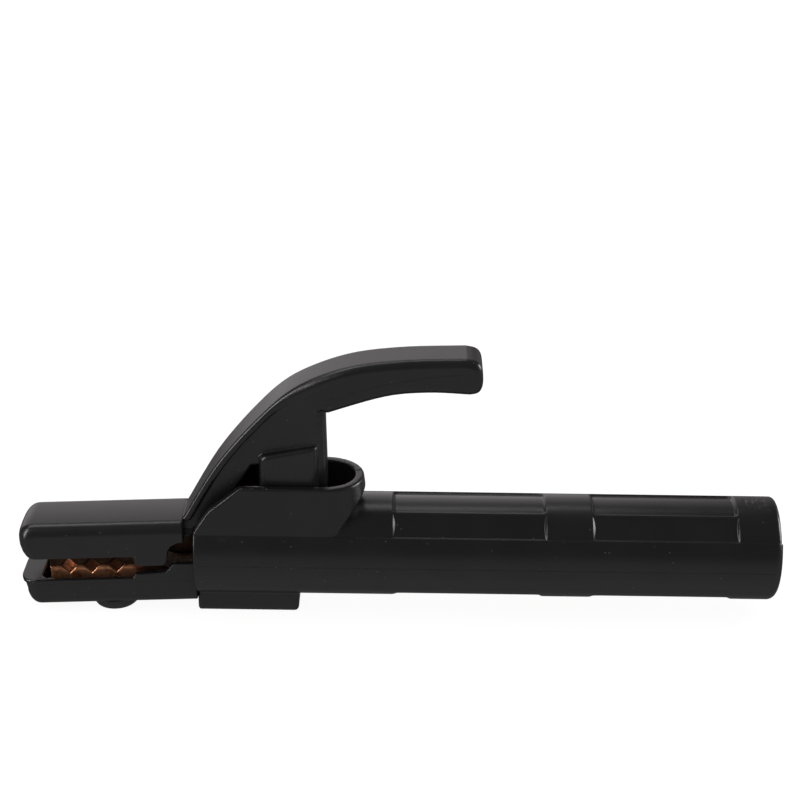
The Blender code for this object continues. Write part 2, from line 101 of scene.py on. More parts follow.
# ---- distance fields
def outline_distance(points: Sequence[Point2], u: Array, v: Array) -> Array:
    """Signed distance to a closed outline.

    Args:
        points: The outline's corners in order.
        u: First coordinates.
        v: Second coordinates.

    Returns:
        The distance, negative inside.
    """
    u, v = np.broadcast_arrays(u, v)
    best = np.full(u.shape, FAR)
    inside = np.zeros(u.shape, bool)
    for (au, av), (bu, bv) in zip(points, list(points[1:]) + [points[0]]):
        eu, ev = bu - au, bv - av
        wu, wv = u - au, v - av
        along = np.clip((wu * eu + wv * ev) / (eu * eu + ev * ev), 0.0, 1.0)
        best = np.minimum(best, (wu - eu * along) ** 2 + (wv - ev * along) ** 2)
        if ev:
            inside ^= ((av > v) != (bv > v)) & (u < eu * (v - av) / ev + au)
    return np.where(inside, -1.0, 1.0) * np.sqrt(best)


def line_distance(points: Sequence[Point2], u: Array, v: Array) -> Array:
    """Distance to an open line through the points, as an array like u and v."""
    u, v = np.broadcast_arrays(u, v)
    best = np.full(u.shape, FAR)
    for (au, av), (bu, bv) in zip(points, points[1:]):
        eu, ev = bu - au, bv - av
        along = np.clip(((u - au) * eu + (v - av) * ev) / (eu * eu + ev * ev), 0.0, 1.0)
        best = np.minimum(best, (u - au - eu * along) ** 2 + (v - av - ev * along) ** 2)
    return np.sqrt(best)


def both(a: Array, b: Array, radius: float) -> Array:
    """What two fields share, with the edge between them rounded to the radius."""
    lift_a, lift_b = np.maximum(a + radius, 0.0), np.maximum(b + radius, 0.0)
    return np.minimum(np.maximum(a, b), -radius) + np.sqrt(lift_a**2 + lift_b**2)


def either(a: Array, b: Array, radius: float) -> Array:
    """Two fields joined, with a fillet of the radius in the corner between them."""
    return -both(-a, -b, radius)


def without(a: Array, b: Array, radius: float) -> Array:
    """The first field less the second, with the new edge rounded to the radius."""
    return both(a, -b, radius)


def half_plane(start: Point2, end: Point2, u: Array, v: Array) -> Array:
    """Distance from a line, positive on the left of its way from start to end."""
    du, dv = end[0] - start[0], end[1] - start[1]
    return (du * (v - start[1]) - dv * (u - start[0])) / math.hypot(du, dv)


def slab(value: Array, low: float, high: float) -> Array:
    """A slice between two values."""
    return np.maximum(low - value, value - high)


def brick(x: Array, y: Array, z: Array, low: Sequence[float], high: Sequence[float]) -> Array:
    """A box from its lowest to its highest corner, with sharp edges."""
    sides = [slab(value, a, b) for value, a, b in zip((x, y, z), low, high)]
    return np.maximum(np.maximum(sides[0], sides[1]), sides[2])


def capsule_plan(x: Array, y: Array, centre_x: float, radius: Array | float) -> Array:
    """A slot in plan that is open towards -X and round about its centre."""
    return np.where(x < centre_x, np.abs(y) - radius, np.hypot(x - centre_x, y) - radius)


def rounded_plan(x: Array, y: Array, low_x: float, high_x: float, half: float, radius: float) -> Array:
    """A rectangle in plan with round corners."""
    ends = np.abs(x - (low_x + high_x) / 2) - (high_x - low_x) / 2
    return both(ends, np.abs(y) - half, radius)


def drilled(u: Array, v: Array, centre: Point2, radius: float, end: Array) -> Array:
    """A round hole across u and v, as far as the last field is negative."""
    return np.maximum(np.hypot(u - centre[0], v - centre[1]) - radius, end)


def ease(value: Array, start: float, end: float) -> Array:
    """Goes smoothly from 0 at start to 1 at end."""
    t = np.clip((value - start) / (end - start), 0.0, 1.0)
    return t * t * (3.0 - 2.0 * t)


# ---- outlines and grids
def arc(centre: Point2, radius: float, start: float, end: float, steps: int) -> list[Point2]:
    """Points on an arc, with its angles in degrees from the first axis."""
    turns = [math.radians(start + (end - start) * i / steps) for i in range(steps + 1)]
    return [(centre[0] + radius * math.cos(t), centre[1] + radius * math.sin(t)) for t in turns]


def smooth_line(points: Sequence[Point2], steps: int = 6) -> list[Point2]:
    """Points on a Catmull-Rom curve through the given ones."""
    ends = [points[0], *points, points[-1]]
    found: list[Point2] = []
    for i in range(1, len(ends) - 2):
        a, b, c, d = (np.array(p, float) for p in ends[i - 1 : i + 3])
        for k in range(steps):
            t = k / steps
            cubic = (2 * a - 5 * b + 4 * c - d) * t**2 + (3 * b - a - 3 * c + d) * t**3
            found.append(tuple((2 * b + (c - a) * t + cubic) / 2))
    return found + [tuple(points[-1])]


def stations(*stretches: tuple[float, float, float]) -> Array:
    """Places along an axis.

    Args:
        stretches: For each stretch, where it starts, where it ends and its step.

    Returns:
        The places of all stretches, in order and without repeats.
    """
    parts = [np.linspace(a, b, max(2, round(abs(b - a) / step) + 1)) for a, b, step in stretches]
    return np.unique(np.round(np.concatenate(parts), 5))


def above_ledge(deg: Array) -> Array:
    """1 on the grip's upper part, 0 below the ledge, by the angle from the top."""
    return 1.0 - ease(deg, LEDGE_DEG - 0.35, LEDGE_DEG + 0.25)


def undroop(x: Array, z: Array) -> tuple[Array, Array]:
    """Turns places back by the angle at which the head hangs, into the head's own frame."""
    c, s = math.cos(HEAD_DROOP), math.sin(HEAD_DROOP)
    dx, dz = x - PIVOT_X, z + HEAD_DROP - PIVOT_Z
    return PIVOT_X + dx * c + dz * s, PIVOT_Z - dx * s + dz * c


def droop_points(points: Array) -> Array:
    """Turns points of the head's own frame about the pivot into the holder's frame."""
    c, s = math.cos(HEAD_DROOP), math.sin(HEAD_DROOP)
    dx, dz = points[:, 0] - PIVOT_X, points[:, 2] - PIVOT_Z
    return np.stack([PIVOT_X + dx * c - dz * s, points[:, 1], PIVOT_Z - HEAD_DROP + dx * s + dz * c], 1)


# ---- meshes
@dataclass
class Skin:
    """A mesh under way: its points in millimetres, its quads, and normals where they are known."""

    points: Array
    quads: Array
    normals: Array | None = None
    cells: Array | None = None

    def add(self, other: Skin) -> Skin:
        """Joins another skin to this one, without normals."""
        quads = np.concatenate([self.quads, other.quads + len(self.points)])
        return Skin(np.concatenate([self.points, other.points]), quads)

    def drooped(self) -> Skin:
        """The skin turned from the head's own frame into the holder's."""
        normals = self.normals
        if normals is not None:
            origin = np.array([[PIVOT_X, 0.0, PIVOT_Z]])
            normals = droop_points(normals + origin) - droop_points(origin)
        return Skin(droop_points(self.points), self.quads, normals, self.cells)


@dataclass(frozen=True)
class Net:
    """Meshes a distance field on a grid whose lines may stand at any spacing.

    The grid's own coordinates can be bent into space, as for a grid round a tube.
    """

    first: Array
    second: Array
    third: Array
    bend: Callable[[Array, Array, Array], tuple[Array, Array, Array]] | None = None
    pulls: int = 3

    def place(self, a: Array, b: Array, c: Array) -> tuple[Array, Array, Array]:
        """Grid coordinates as x, y and z."""
        return self.bend(a, b, c) if self.bend else (a, b, c)

    def skin(self, shape: Field) -> Skin:
        """Finds the field's surface.

        Args:
            shape: The distance field, in x, y and z.

        Returns:
            The surface's quads, with normals from the field itself.
        """
        axes = (self.first, self.second, self.third)
        values = shape(*self.place(*np.ix_(*axes)))
        values = np.broadcast_to(values, tuple(len(a) for a in axes))
        inside = values < 0
        total = sum(inside[self._corner(k, inside.shape)].astype(np.int8) for k in range(8))
        cells = np.argwhere((total > 0) & (total < 8))
        number = np.full(total.shape, -1, np.int64)
        number[tuple(cells.T)] = np.arange(len(cells))
        points = self._pulled(self._crossings(values, inside, cells), shape)
        normals = self._slopes(points, shape)
        quads = self._quads(inside, number)
        corners = points[quads]
        facing = np.cross(corners[:, 2] - corners[:, 0], corners[:, 3] - corners[:, 1])
        if (facing * normals[quads[:, 0]]).sum() < 0:
            quads = quads[:, ::-1]
        return Skin(points, quads, normals, cells)

    @staticmethod
    def _corner(k: int, size: tuple[int, ...]) -> tuple[slice, ...]:
        """The slice that holds every cell's corner number k."""
        return tuple(slice((k >> d) & 1, size[d] - 1 + ((k >> d) & 1)) for d in range(3))

    def _crossings(self, values: Array, inside: Array, cells: Array) -> Array:
        """The middle of each cell's crossed edges, in x, y and z."""
        axes = (self.first, self.second, self.third)
        total = np.zeros((len(cells), 3))
        count = np.zeros(len(cells))
        for d in range(3):
            others = [e for e in range(3) if e != d]
            for k in range(4):
                low = cells.copy()
                low[:, others[0]] += k & 1
                low[:, others[1]] += k >> 1
                high = low.copy()
                high[:, d] += 1
                a, b = values[tuple(low.T)], values[tuple(high.T)]
                hit = inside[tuple(low.T)] != inside[tuple(high.T)]
                share = np.where(hit, a / np.where(hit, a - b, 1.0), 0.0)
                spot = np.stack([axes[e][low[:, e]] for e in range(3)], 1)
                spot[:, d] += share * (axes[d][high[:, d]] - axes[d][low[:, d]])
                total += spot * hit[:, None]
                count += hit
        spot = total / count[:, None]
        return np.stack(self.place(*spot.T), 1)

    def _slopes(self, points: Array, shape: Field) -> Array:
        """The field's unit slope at each point."""
        step = 0.03
        slopes = np.zeros_like(points)
        for d in range(3):
            ahead, behind = points.copy(), points.copy()
            ahead[:, d] += step
            behind[:, d] -= step
            slopes[:, d] = shape(*ahead.T) - shape(*behind.T)
        length = np.linalg.norm(slopes, axis=1, keepdims=True)
        return slopes / np.maximum(length, 1e-9)

    def _pulled(self, points: Array, shape: Field) -> Array:
        """Moves points along the field's slope until they lie on its surface."""
        farthest = 0.3
        for _ in range(self.pulls):
            value = np.clip(shape(*points.T), -farthest, farthest)
            points = points - self._slopes(points, shape) * value[:, None]
        return points

    @staticmethod
    def _quads(inside: Array, number: Array) -> Array:
        """One quad round each grid edge that the surface crosses."""
        found = []
        for d in range(3):
            e, f = (d + 1) % 3, (d + 2) % 3
            low = [slice(None)] * 3
            high = [slice(None)] * 3
            low[d], high[d] = slice(None, -1), slice(1, None)
            for k in (e, f):
                low[k] = high[k] = slice(1, -1)
            start, end = inside[tuple(low)], inside[tuple(high)]
            for out in (False, True):
                edges = np.argwhere((start != end) & (start == out))
                edges[:, e] += 1
                edges[:, f] += 1
                ring = []
                for de, df in ((-1, -1), (0, -1), (0, 0), (-1, 0)):
                    cell = edges.copy()
                    cell[:, e] += de
                    cell[:, f] += df
                    ring.append(number[tuple(cell.T)])
                quads = np.stack(ring if out else ring[::-1], 1)
                found.append(quads)
        return np.concatenate(found)


def even_net(low: Sequence[float], high: Sequence[float], step: float) -> Net:
    """A grid of one step from its lowest corner to its highest."""
    return Net(*(stations((a, b, step)) for a, b in zip(low, high)))


def loft(rings: Sequence[Array], closed: bool = False) -> Skin:
    """Skins equal rings of points.

    Args:
        rings: Arrays of points, each ring closed on itself.
        closed: Whether the last ring joins the first.

    Returns:
        The skin, without end caps.
    """
    count = len(rings[0])
    points = np.concatenate(rings)
    near = np.arange(count)
    ahead = (near + 1) % count
    last = len(rings) if closed else len(rings) - 1
    quads = []
    for k in range(last):
        a, b = k * count, (k + 1) % len(rings) * count
        quads.append(np.stack([a + near, a + ahead, b + ahead, b + near], 1))
    return Skin(points, np.concatenate(quads))


def turned(
    profile: Sequence[Point2],
    axis: Axis = Axis.Z,
    centre: Sequence[float] = (0.0, 0.0, 0.0),
    segments: int = 64,
) -> Skin:
    """Turns a profile about an axis.

    Args:
        profile: Pairs of a place along the axis and a radius.
        axis: The axis to turn about.
        centre: A point on that axis.
        segments: Steps round the turn.

    Returns:
        The skin. A profile that starts and ends on the axis makes a closed solid.
    """
    angles = np.arange(segments) * TAU / segments
    along = axis.value
    rings = []
    for place, radius in profile:
        ring = np.zeros((segments, 3))
        ring[:, along] = place
        ring[:, (along + 1) % 3] = radius * np.cos(angles)
        ring[:, (along + 2) % 3] = radius * np.sin(angles)
        rings.append(ring + np.array(centre))
    return loft(rings)


def eased_profile(corners: Sequence[Point2], radius: float = 0.3, steps: int = 3) -> list[Point2]:
    """A turned profile with each corner between its ends rounded."""
    found: list[Point2] = [corners[0]]
    for before, here, after in zip(corners, corners[1:], corners[2:]):
        a, b, c = (np.array(p, float) for p in (before, here, after))
        reach = min(radius, np.linalg.norm(a - b) * 0.45, np.linalg.norm(c - b) * 0.45)
        start = b + (a - b) / np.linalg.norm(a - b) * reach
        end = b + (c - b) / np.linalg.norm(c - b) * reach
        for i in range(steps + 1):
            t = i / steps
            found.append(tuple((1 - t) ** 2 * start + 2 * t * (1 - t) * b + t**2 * end))
    return found + [corners[-1]]


def tube_along(path: Array, radius: Array | float, sides: int = 12) -> Skin:
    """A round wire along a path of points, closed with a small point at each end."""
    ahead = np.gradient(path, axis=0)
    ahead /= np.linalg.norm(ahead, axis=1, keepdims=True)
    side = np.cross(ahead, np.array([0.0, 0.0, 1.0]))
    side /= np.maximum(np.linalg.norm(side, axis=1, keepdims=True), 1e-9)
    up = np.cross(side, ahead)
    radii = np.broadcast_to(np.asarray(radius, float), (len(path),)).copy()
    radii[0] = radii[-1] = TIP_R
    turns = np.arange(sides) * TAU / sides
    rings = []
    for i, centre in enumerate(path):
        spokes = np.outer(np.cos(turns), side[i]) + np.outer(np.sin(turns), up[i])
        rings.append(centre + spokes * radii[i])
    return loft(rings)


def make_object(name: str, skin: Skin, finish: Finish, weld: bool = False) -> bpy.types.Object:
    """Makes a piece from a skin.

    Args:
        name: The piece's name.
        skin: Its points, in millimetres about the grip's centre line.
        finish: What it is made of.
        weld: Whether to merge points that lie on each other, which drops known normals.

    Returns:
        The new object, in the model's frame.
    """
    mesh = bpy.data.meshes.new(name)
    points = skin.points * MM
    points[:, 2] += AXIS_HEIGHT * MM
    mesh.from_pydata(points.tolist(), [], skin.quads.tolist())
    mesh.update()
    made = bpy.data.objects.new(name, mesh)
    bpy.context.scene.collection.objects.link(made)
    mesh.shade_smooth()
    if weld or skin.normals is None:
        tidy_mesh(mesh)
    else:
        mesh.normals_split_custom_set_from_vertices(skin.normals.tolist())
    mesh.materials.append(finish.material())
    LOG.info("%s: %d faces", name, len(mesh.polygons))
    return made


def tidy_mesh(mesh: bpy.types.Mesh) -> None:
    """Merges points that lie on each other, caps open ends and turns the faces outwards."""
    work = bmesh.new()
    work.from_mesh(mesh)
    bmesh.ops.remove_doubles(work, verts=work.verts, dist=0.004 * MM)
    bmesh.ops.holes_fill(work, edges=work.edges, sides=0)
    bmesh.ops.recalc_face_normals(work, faces=work.faces)
    work.to_mesh(mesh)
    work.free()
    mesh.update()


def add_piece(
    name: str, skin: Skin, finish: Finish, body: Body, *nodes: str, weld: bool = False
) -> bpy.types.Object:
    """Makes a piece in its finish, hangs it on its body and hides the nodes it stands for.

    Args:
        name: The piece's name.
        skin: Its points, in millimetres about the grip's centre line.
        finish: What it is made of.
        body: The body it moves with.
        nodes: The mechanical model's nodes that it replaces.
        weld: Whether to merge points that lie on each other.

    Returns:
        The new object.
    """
    made = make_object(name, skin, finish, weld)
    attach(made, body.value)
    if nodes:
        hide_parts(*nodes)
    return made


# ---- shader maths
@dataclass(frozen=True)
class Value:
    """A number socket that takes part in ordinary expressions, each of which adds a Math node."""

    graph: Graph
    socket: bpy.types.NodeSocket

    def _math(self, operation: str, *operands: Value | float) -> Value:
        """Adds a Math node on the operands, in their order."""
        made = self.graph.node("ShaderNodeMath", {"operation": operation}, dict(enumerate(operands)))
        return Value(self.graph, made.outputs[0])

    def __add__(self, other: Value | float) -> Value:
        """The sum."""
        return self._math("ADD", self, other)

    def __radd__(self, other: float) -> Value:
        """The sum, with the number first."""
        return self._math("ADD", other, self)

    def __sub__(self, other: Value | float) -> Value:
        """The difference."""
        return self._math("SUBTRACT", self, other)

    def __rsub__(self, other: float) -> Value:
        """The difference, with the number first."""
        return self._math("SUBTRACT", other, self)

    def __mul__(self, other: Value | float) -> Value:
        """The product."""
        return self._math("MULTIPLY", self, other)

    def __rmul__(self, other: float) -> Value:
        """The product, with the number first."""
        return self._math("MULTIPLY", other, self)

    def ramp(self, start: float, end: float) -> Value:
        """Goes smoothly from 0 at start to 1 at end."""
        settings = {"interpolation_type": "SMOOTHSTEP"}
        sockets = {"Value": self, "From Min": start, "From Max": end}
        return Value(self.graph, self.graph.node("ShaderNodeMapRange", settings, sockets).outputs["Result"])


@dataclass
class Graph:
    """A material's node tree, with one way to add any node."""

    tree: bpy.types.NodeTree

    def node(self, kind: str, settings: dict | None = None, sockets: dict | None = None) -> bpy.types.Node:
        """Adds a node.

        Args:
            kind: The node's type.
            settings: Its own properties, which are set first.
            sockets: Values or links for its sockets, by name or number.

        Returns:
            The new node.
        """
        made = self.tree.nodes.new(kind)
        for name, value in (settings or {}).items():
            setattr(made, name, value)
        for name, value in (sockets or {}).items():
            self.feed(made.inputs[name], value)
        return made

    def feed(self, socket: bpy.types.NodeSocket, value: object) -> None:
        """Sets a socket to a value or links it."""
        if isinstance(value, Value):
            value = value.socket
        if isinstance(value, bpy.types.NodeSocket):
            self.tree.links.new(value, socket)
        else:
            socket.default_value = value

    def place(self, stretch: Sequence[float] = EVEN) -> bpy.types.NodeSocket:
        """The piece's own coordinates in metres, stretched along each axis."""
        where = self.node("ShaderNodeTexCoord").outputs["Object"]
        if tuple(stretch) == EVEN:
            return where
        return self.node("ShaderNodeVectorMath", {"operation": "MULTIPLY"}, {0: where, 1: stretch}).outputs[0]

    def noise(
        self, scale: float, detail: float = 3.0, rough: float = 0.55, stretch: Sequence[float] = EVEN
    ) -> Value:
        """Noise from 0 to 1, with its scale in cycles per metre."""
        sockets = {"Vector": self.place(stretch), "Scale": scale, "Detail": detail, "Roughness": rough}
        return Value(self, self.node("ShaderNodeTexNoise", None, sockets).outputs["Fac"])

    def specks(self, scale: float, size: float, share: float) -> Value:
        """Small round specks.

        Args:
            scale: Cells per metre.
            size: A speck's reach, as a part of its cell.
            share: The part of the cells that hold one.

        Returns:
            A mask, 1 on the specks.
        """
        cells = self.node("ShaderNodeTexVoronoi", None, {"Vector": self.place(), "Scale": scale})
        near = Value(self, cells.outputs["Distance"]).ramp(size, size * 0.4)
        split = self.node("ShaderNodeSeparateColor", None, {0: cells.outputs["Color"]})
        return near * Value(self, split.outputs[0]).ramp(1.0 - share, 1.0 - share + 0.01)

    def mix(self, share: Value, low: object, high: object) -> bpy.types.NodeSocket:
        """A colour between two colours or colour sockets."""
        made = self.node("ShaderNodeMix", {"data_type": "RGBA"}, {0: share, 6: low, 7: high})
        return made.outputs[2]

    def bump(self, height: Value, depth: float, strength: float = 1.0) -> bpy.types.NodeSocket:
        """A normal from a height, with its depth in millimetres."""
        sockets = {"Height": height, "Distance": depth * MM, "Strength": strength}
        return self.node("ShaderNodeBump", None, sockets).outputs["Normal"]

    def surface(self, settings: dict) -> None:
        """Adds the shader and the output, with the shader's sockets as given."""
        shader = self.node("ShaderNodeBsdfPrincipled", None, settings)
        self.node("ShaderNodeOutputMaterial", None, {"Surface": shader.outputs[0]})


def colour(red: float, green: float, blue: float) -> tuple[float, float, float, float]:
    """An opaque colour."""
    return (red, green, blue, 1.0)


# ---- finishes
@dataclass(frozen=True)
class Finish:
    """What a piece is made of, and its finish slot. Each kind draws its own nodes, once a name."""

    name: str
    slot: str = ""

    def material(self) -> bpy.types.Material:
        """The finish's material, made when it is first asked for."""
        found = bpy.data.materials.get(self.name)
        if found:
            return found
        made = bpy.data.materials.new(self.name)
        made.use_nodes = True
        made.node_tree.nodes.clear()
        self.draw(Graph(made.node_tree))
        return made

    def draw(self, graph: Graph) -> None:
        """Draws the finish's nodes."""
        raise NotImplementedError


@dataclass(frozen=True)
class Moulding(Finish):
    """Black glass-filled moulding: semi-gloss, faintly rippled, with dust and fine scuffs."""

    dark: tuple = colour(0.0044, 0.0044, 0.0046)
    worn: tuple = colour(0.014, 0.0135, 0.0135)
    dust: tuple = colour(0.16, 0.155, 0.15)
    gloss: float = 0.25

    def draw(self, graph: Graph) -> None:
        """Draws the black moulding."""
        cloud = graph.noise(70.0, 3.0)
        skin = graph.noise(1500.0, 4.0, 0.6)
        scuff = graph.noise(420.0, 4.0, 0.7, (0.12, 1.0, 1.0)).ramp(0.60, 0.74)
        patch = graph.noise(45.0, 2.0).ramp(0.45, 0.68)
        rub = scuff * patch
        dust = graph.specks(900.0, 0.16, 0.05)
        base = graph.mix(cloud * 0.35 + rub * 0.45, self.dark, self.worn)
        base = graph.mix(dust * 0.6, base, self.dust)
        rough = self.gloss + cloud * 0.09 + rub * 0.12 + dust * 0.3
        height = skin * 0.55 + cloud * 3.0 - rub * 0.5 + dust * 0.6
        settings = {"Base Color": base, "Roughness": rough, "Normal": graph.bump(height, 0.012), "IOR": 1.5}
        graph.surface(settings)


@dataclass(frozen=True)
class Casting(Finish):
    """Copper alloy casting: bright where the rod rubs it, browner in patches, grainy, and painted near-black
    as shade over an optional span of X.
    """

    bright: tuple = colour(0.95, 0.46, 0.24)
    brown: tuple = colour(0.36, 0.12, 0.05)
    # Near-black: the colour of random pits and dark patches, and also of the painted shade over the span
    # below.
    soot_and_painted_shade: tuple = colour(0.02, 0.014, 0.012)
    # Painted shade span along X, in millimetres: where the copper starts to darken, where it is fully dark,
    # where it starts to lighten and where the shade ends.
    painted_shade_span: tuple[float, float, float, float] | None = None

    def draw(self, graph: Graph) -> None:
        """Draws the copper."""
        patch = graph.noise(260.0, 4.0, 0.6)
        grain = graph.noise(1900.0, 5.0, 0.65)
        pits = graph.specks(1300.0, 0.3, 0.22)
        scratch = graph.noise(900.0, 3.0, 0.6, (1.0, 0.08, 1.0)).ramp(0.56, 0.7)
        base = graph.mix(patch.ramp(0.42, 0.68), self.bright, self.brown)
        base = graph.mix(pits * 0.6 + patch.ramp(0.6, 0.76) * 0.6, base, self.soot_and_painted_shade)
        rough = 0.24 + patch * 0.16 + grain * 0.1 + pits * 0.15 - scratch * 0.05
        # Painted shade: between the span's ends along X the copper turns near-black and rougher, standing in
        # for the shadow over the jaws and neck.
        if self.painted_shade_span:
            parts = graph.node("ShaderNodeSeparateXYZ", None, {0: graph.place()})
            along = Value(graph, parts.outputs[0])
            rise, top, edge, fall = (x * MM for x in self.painted_shade_span)
            black = along.ramp(rise, top) * along.ramp(fall, edge)
            base = graph.mix(black * (0.88 + grain * 0.12), base, self.soot_and_painted_shade)
            rough = rough + black * 0.2
        height = grain * 0.6 - pits * 0.8 + scratch * 0.35 + patch * 0.8
        settings = {"Base Color": base, "Roughness": rough, "Normal": graph.bump(height, 0.03)}
        graph.surface(settings | {"Metallic": 1.0})


@dataclass(frozen=True)
class PlatedSteel(Finish):
    """Steel with a thin finish: zinc, black oxide or oiled wire, brushed and a little stained."""

    light: tuple = colour(0.62, 0.615, 0.59)
    stain: tuple = colour(0.36, 0.35, 0.32)
    rough: float = 0.3
    brushing: tuple = (1.0, 0.06, 1.0)

    def draw(self, graph: Graph) -> None:
        """Draws the steel."""
        patch = graph.noise(330.0, 4.0, 0.6)
        brush = graph.noise(2600.0, 3.0, 0.6, self.brushing)
        grain = graph.noise(3500.0, 2.0)
        base = graph.mix(patch.ramp(0.4, 0.72) * 0.75 + brush * 0.15, self.light, self.stain)
        rough = self.rough + patch * 0.14 + brush * 0.1
        height = brush * 0.6 + grain * 0.3 + patch * 0.4
        settings = {"Base Color": base, "Roughness": rough, "Normal": graph.bump(height, 0.012)}
        graph.surface(settings | {"Metallic": 1.0})


@dataclass(frozen=True)
class Fibre(Finish):
    """Red vulcanised fibre with its paper grain."""

    red: tuple = colour(0.26, 0.07, 0.035)
    dark: tuple = colour(0.12, 0.035, 0.02)

    def draw(self, graph: Graph) -> None:
        """Draws the fibre."""
        layers = graph.noise(1400.0, 4.0, 0.6, (0.3, 0.3, 3.0))
        base = graph.mix(layers.ramp(0.35, 0.7), self.red, self.dark)
        settings = {"Base Color": base, "Roughness": 0.6 + layers * 0.2}
        graph.surface(settings | {"Normal": graph.bump(layers, 0.04)})


@dataclass(frozen=True)
class StudioPaper(Finish):
    """The pale sweep under the holder."""

    def draw(self, graph: Graph) -> None:
        """Draws the paper."""
        cloud = graph.noise(3.0, 2.0)
        base = graph.mix(cloud, colour(0.11, 0.11, 0.11), colour(0.13, 0.13, 0.13))
        settings = {"Base Color": base, "Roughness": 0.9 + cloud * 0.05, "Specular IOR Level": 0.0}
        graph.surface(settings | {"Emission Color": colour(1, 1, 1), "Emission Strength": 0.93})


BLACK = Moulding("holder_black_moulding", "black_moulding")
# Each span is where that casting's copper gets painted shade: the live one round its neck, the moving one
# from its upper jaw to its hub.
LIVE_COPPER = Casting("holder_copper_live", "copper_casting", painted_shade_span=(-80.0, -75.0, -56.0, -46.0))
MOVING_COPPER = Casting("holder_copper_moving", "copper_casting", painted_shade_span=(-140.0, -130.0, -57.0, -50.0))
ZINC = PlatedSteel("holder_zinc_steel", "zinc_steel")
BLACK_OXIDE = PlatedSteel(
    "holder_black_oxide", "blackened_steel", colour(0.075, 0.068, 0.062), colour(0.03, 0.026, 0.023), 0.34
)
SPRING_WIRE = PlatedSteel(
    "holder_spring_wire", "spring_steel", colour(0.3, 0.3, 0.31), colour(0.16, 0.15, 0.15), 0.26
)
RED_FIBRE = Fibre("holder_red_fibre", "insulating_fibre")
PAPER = StudioPaper("studio_paper")


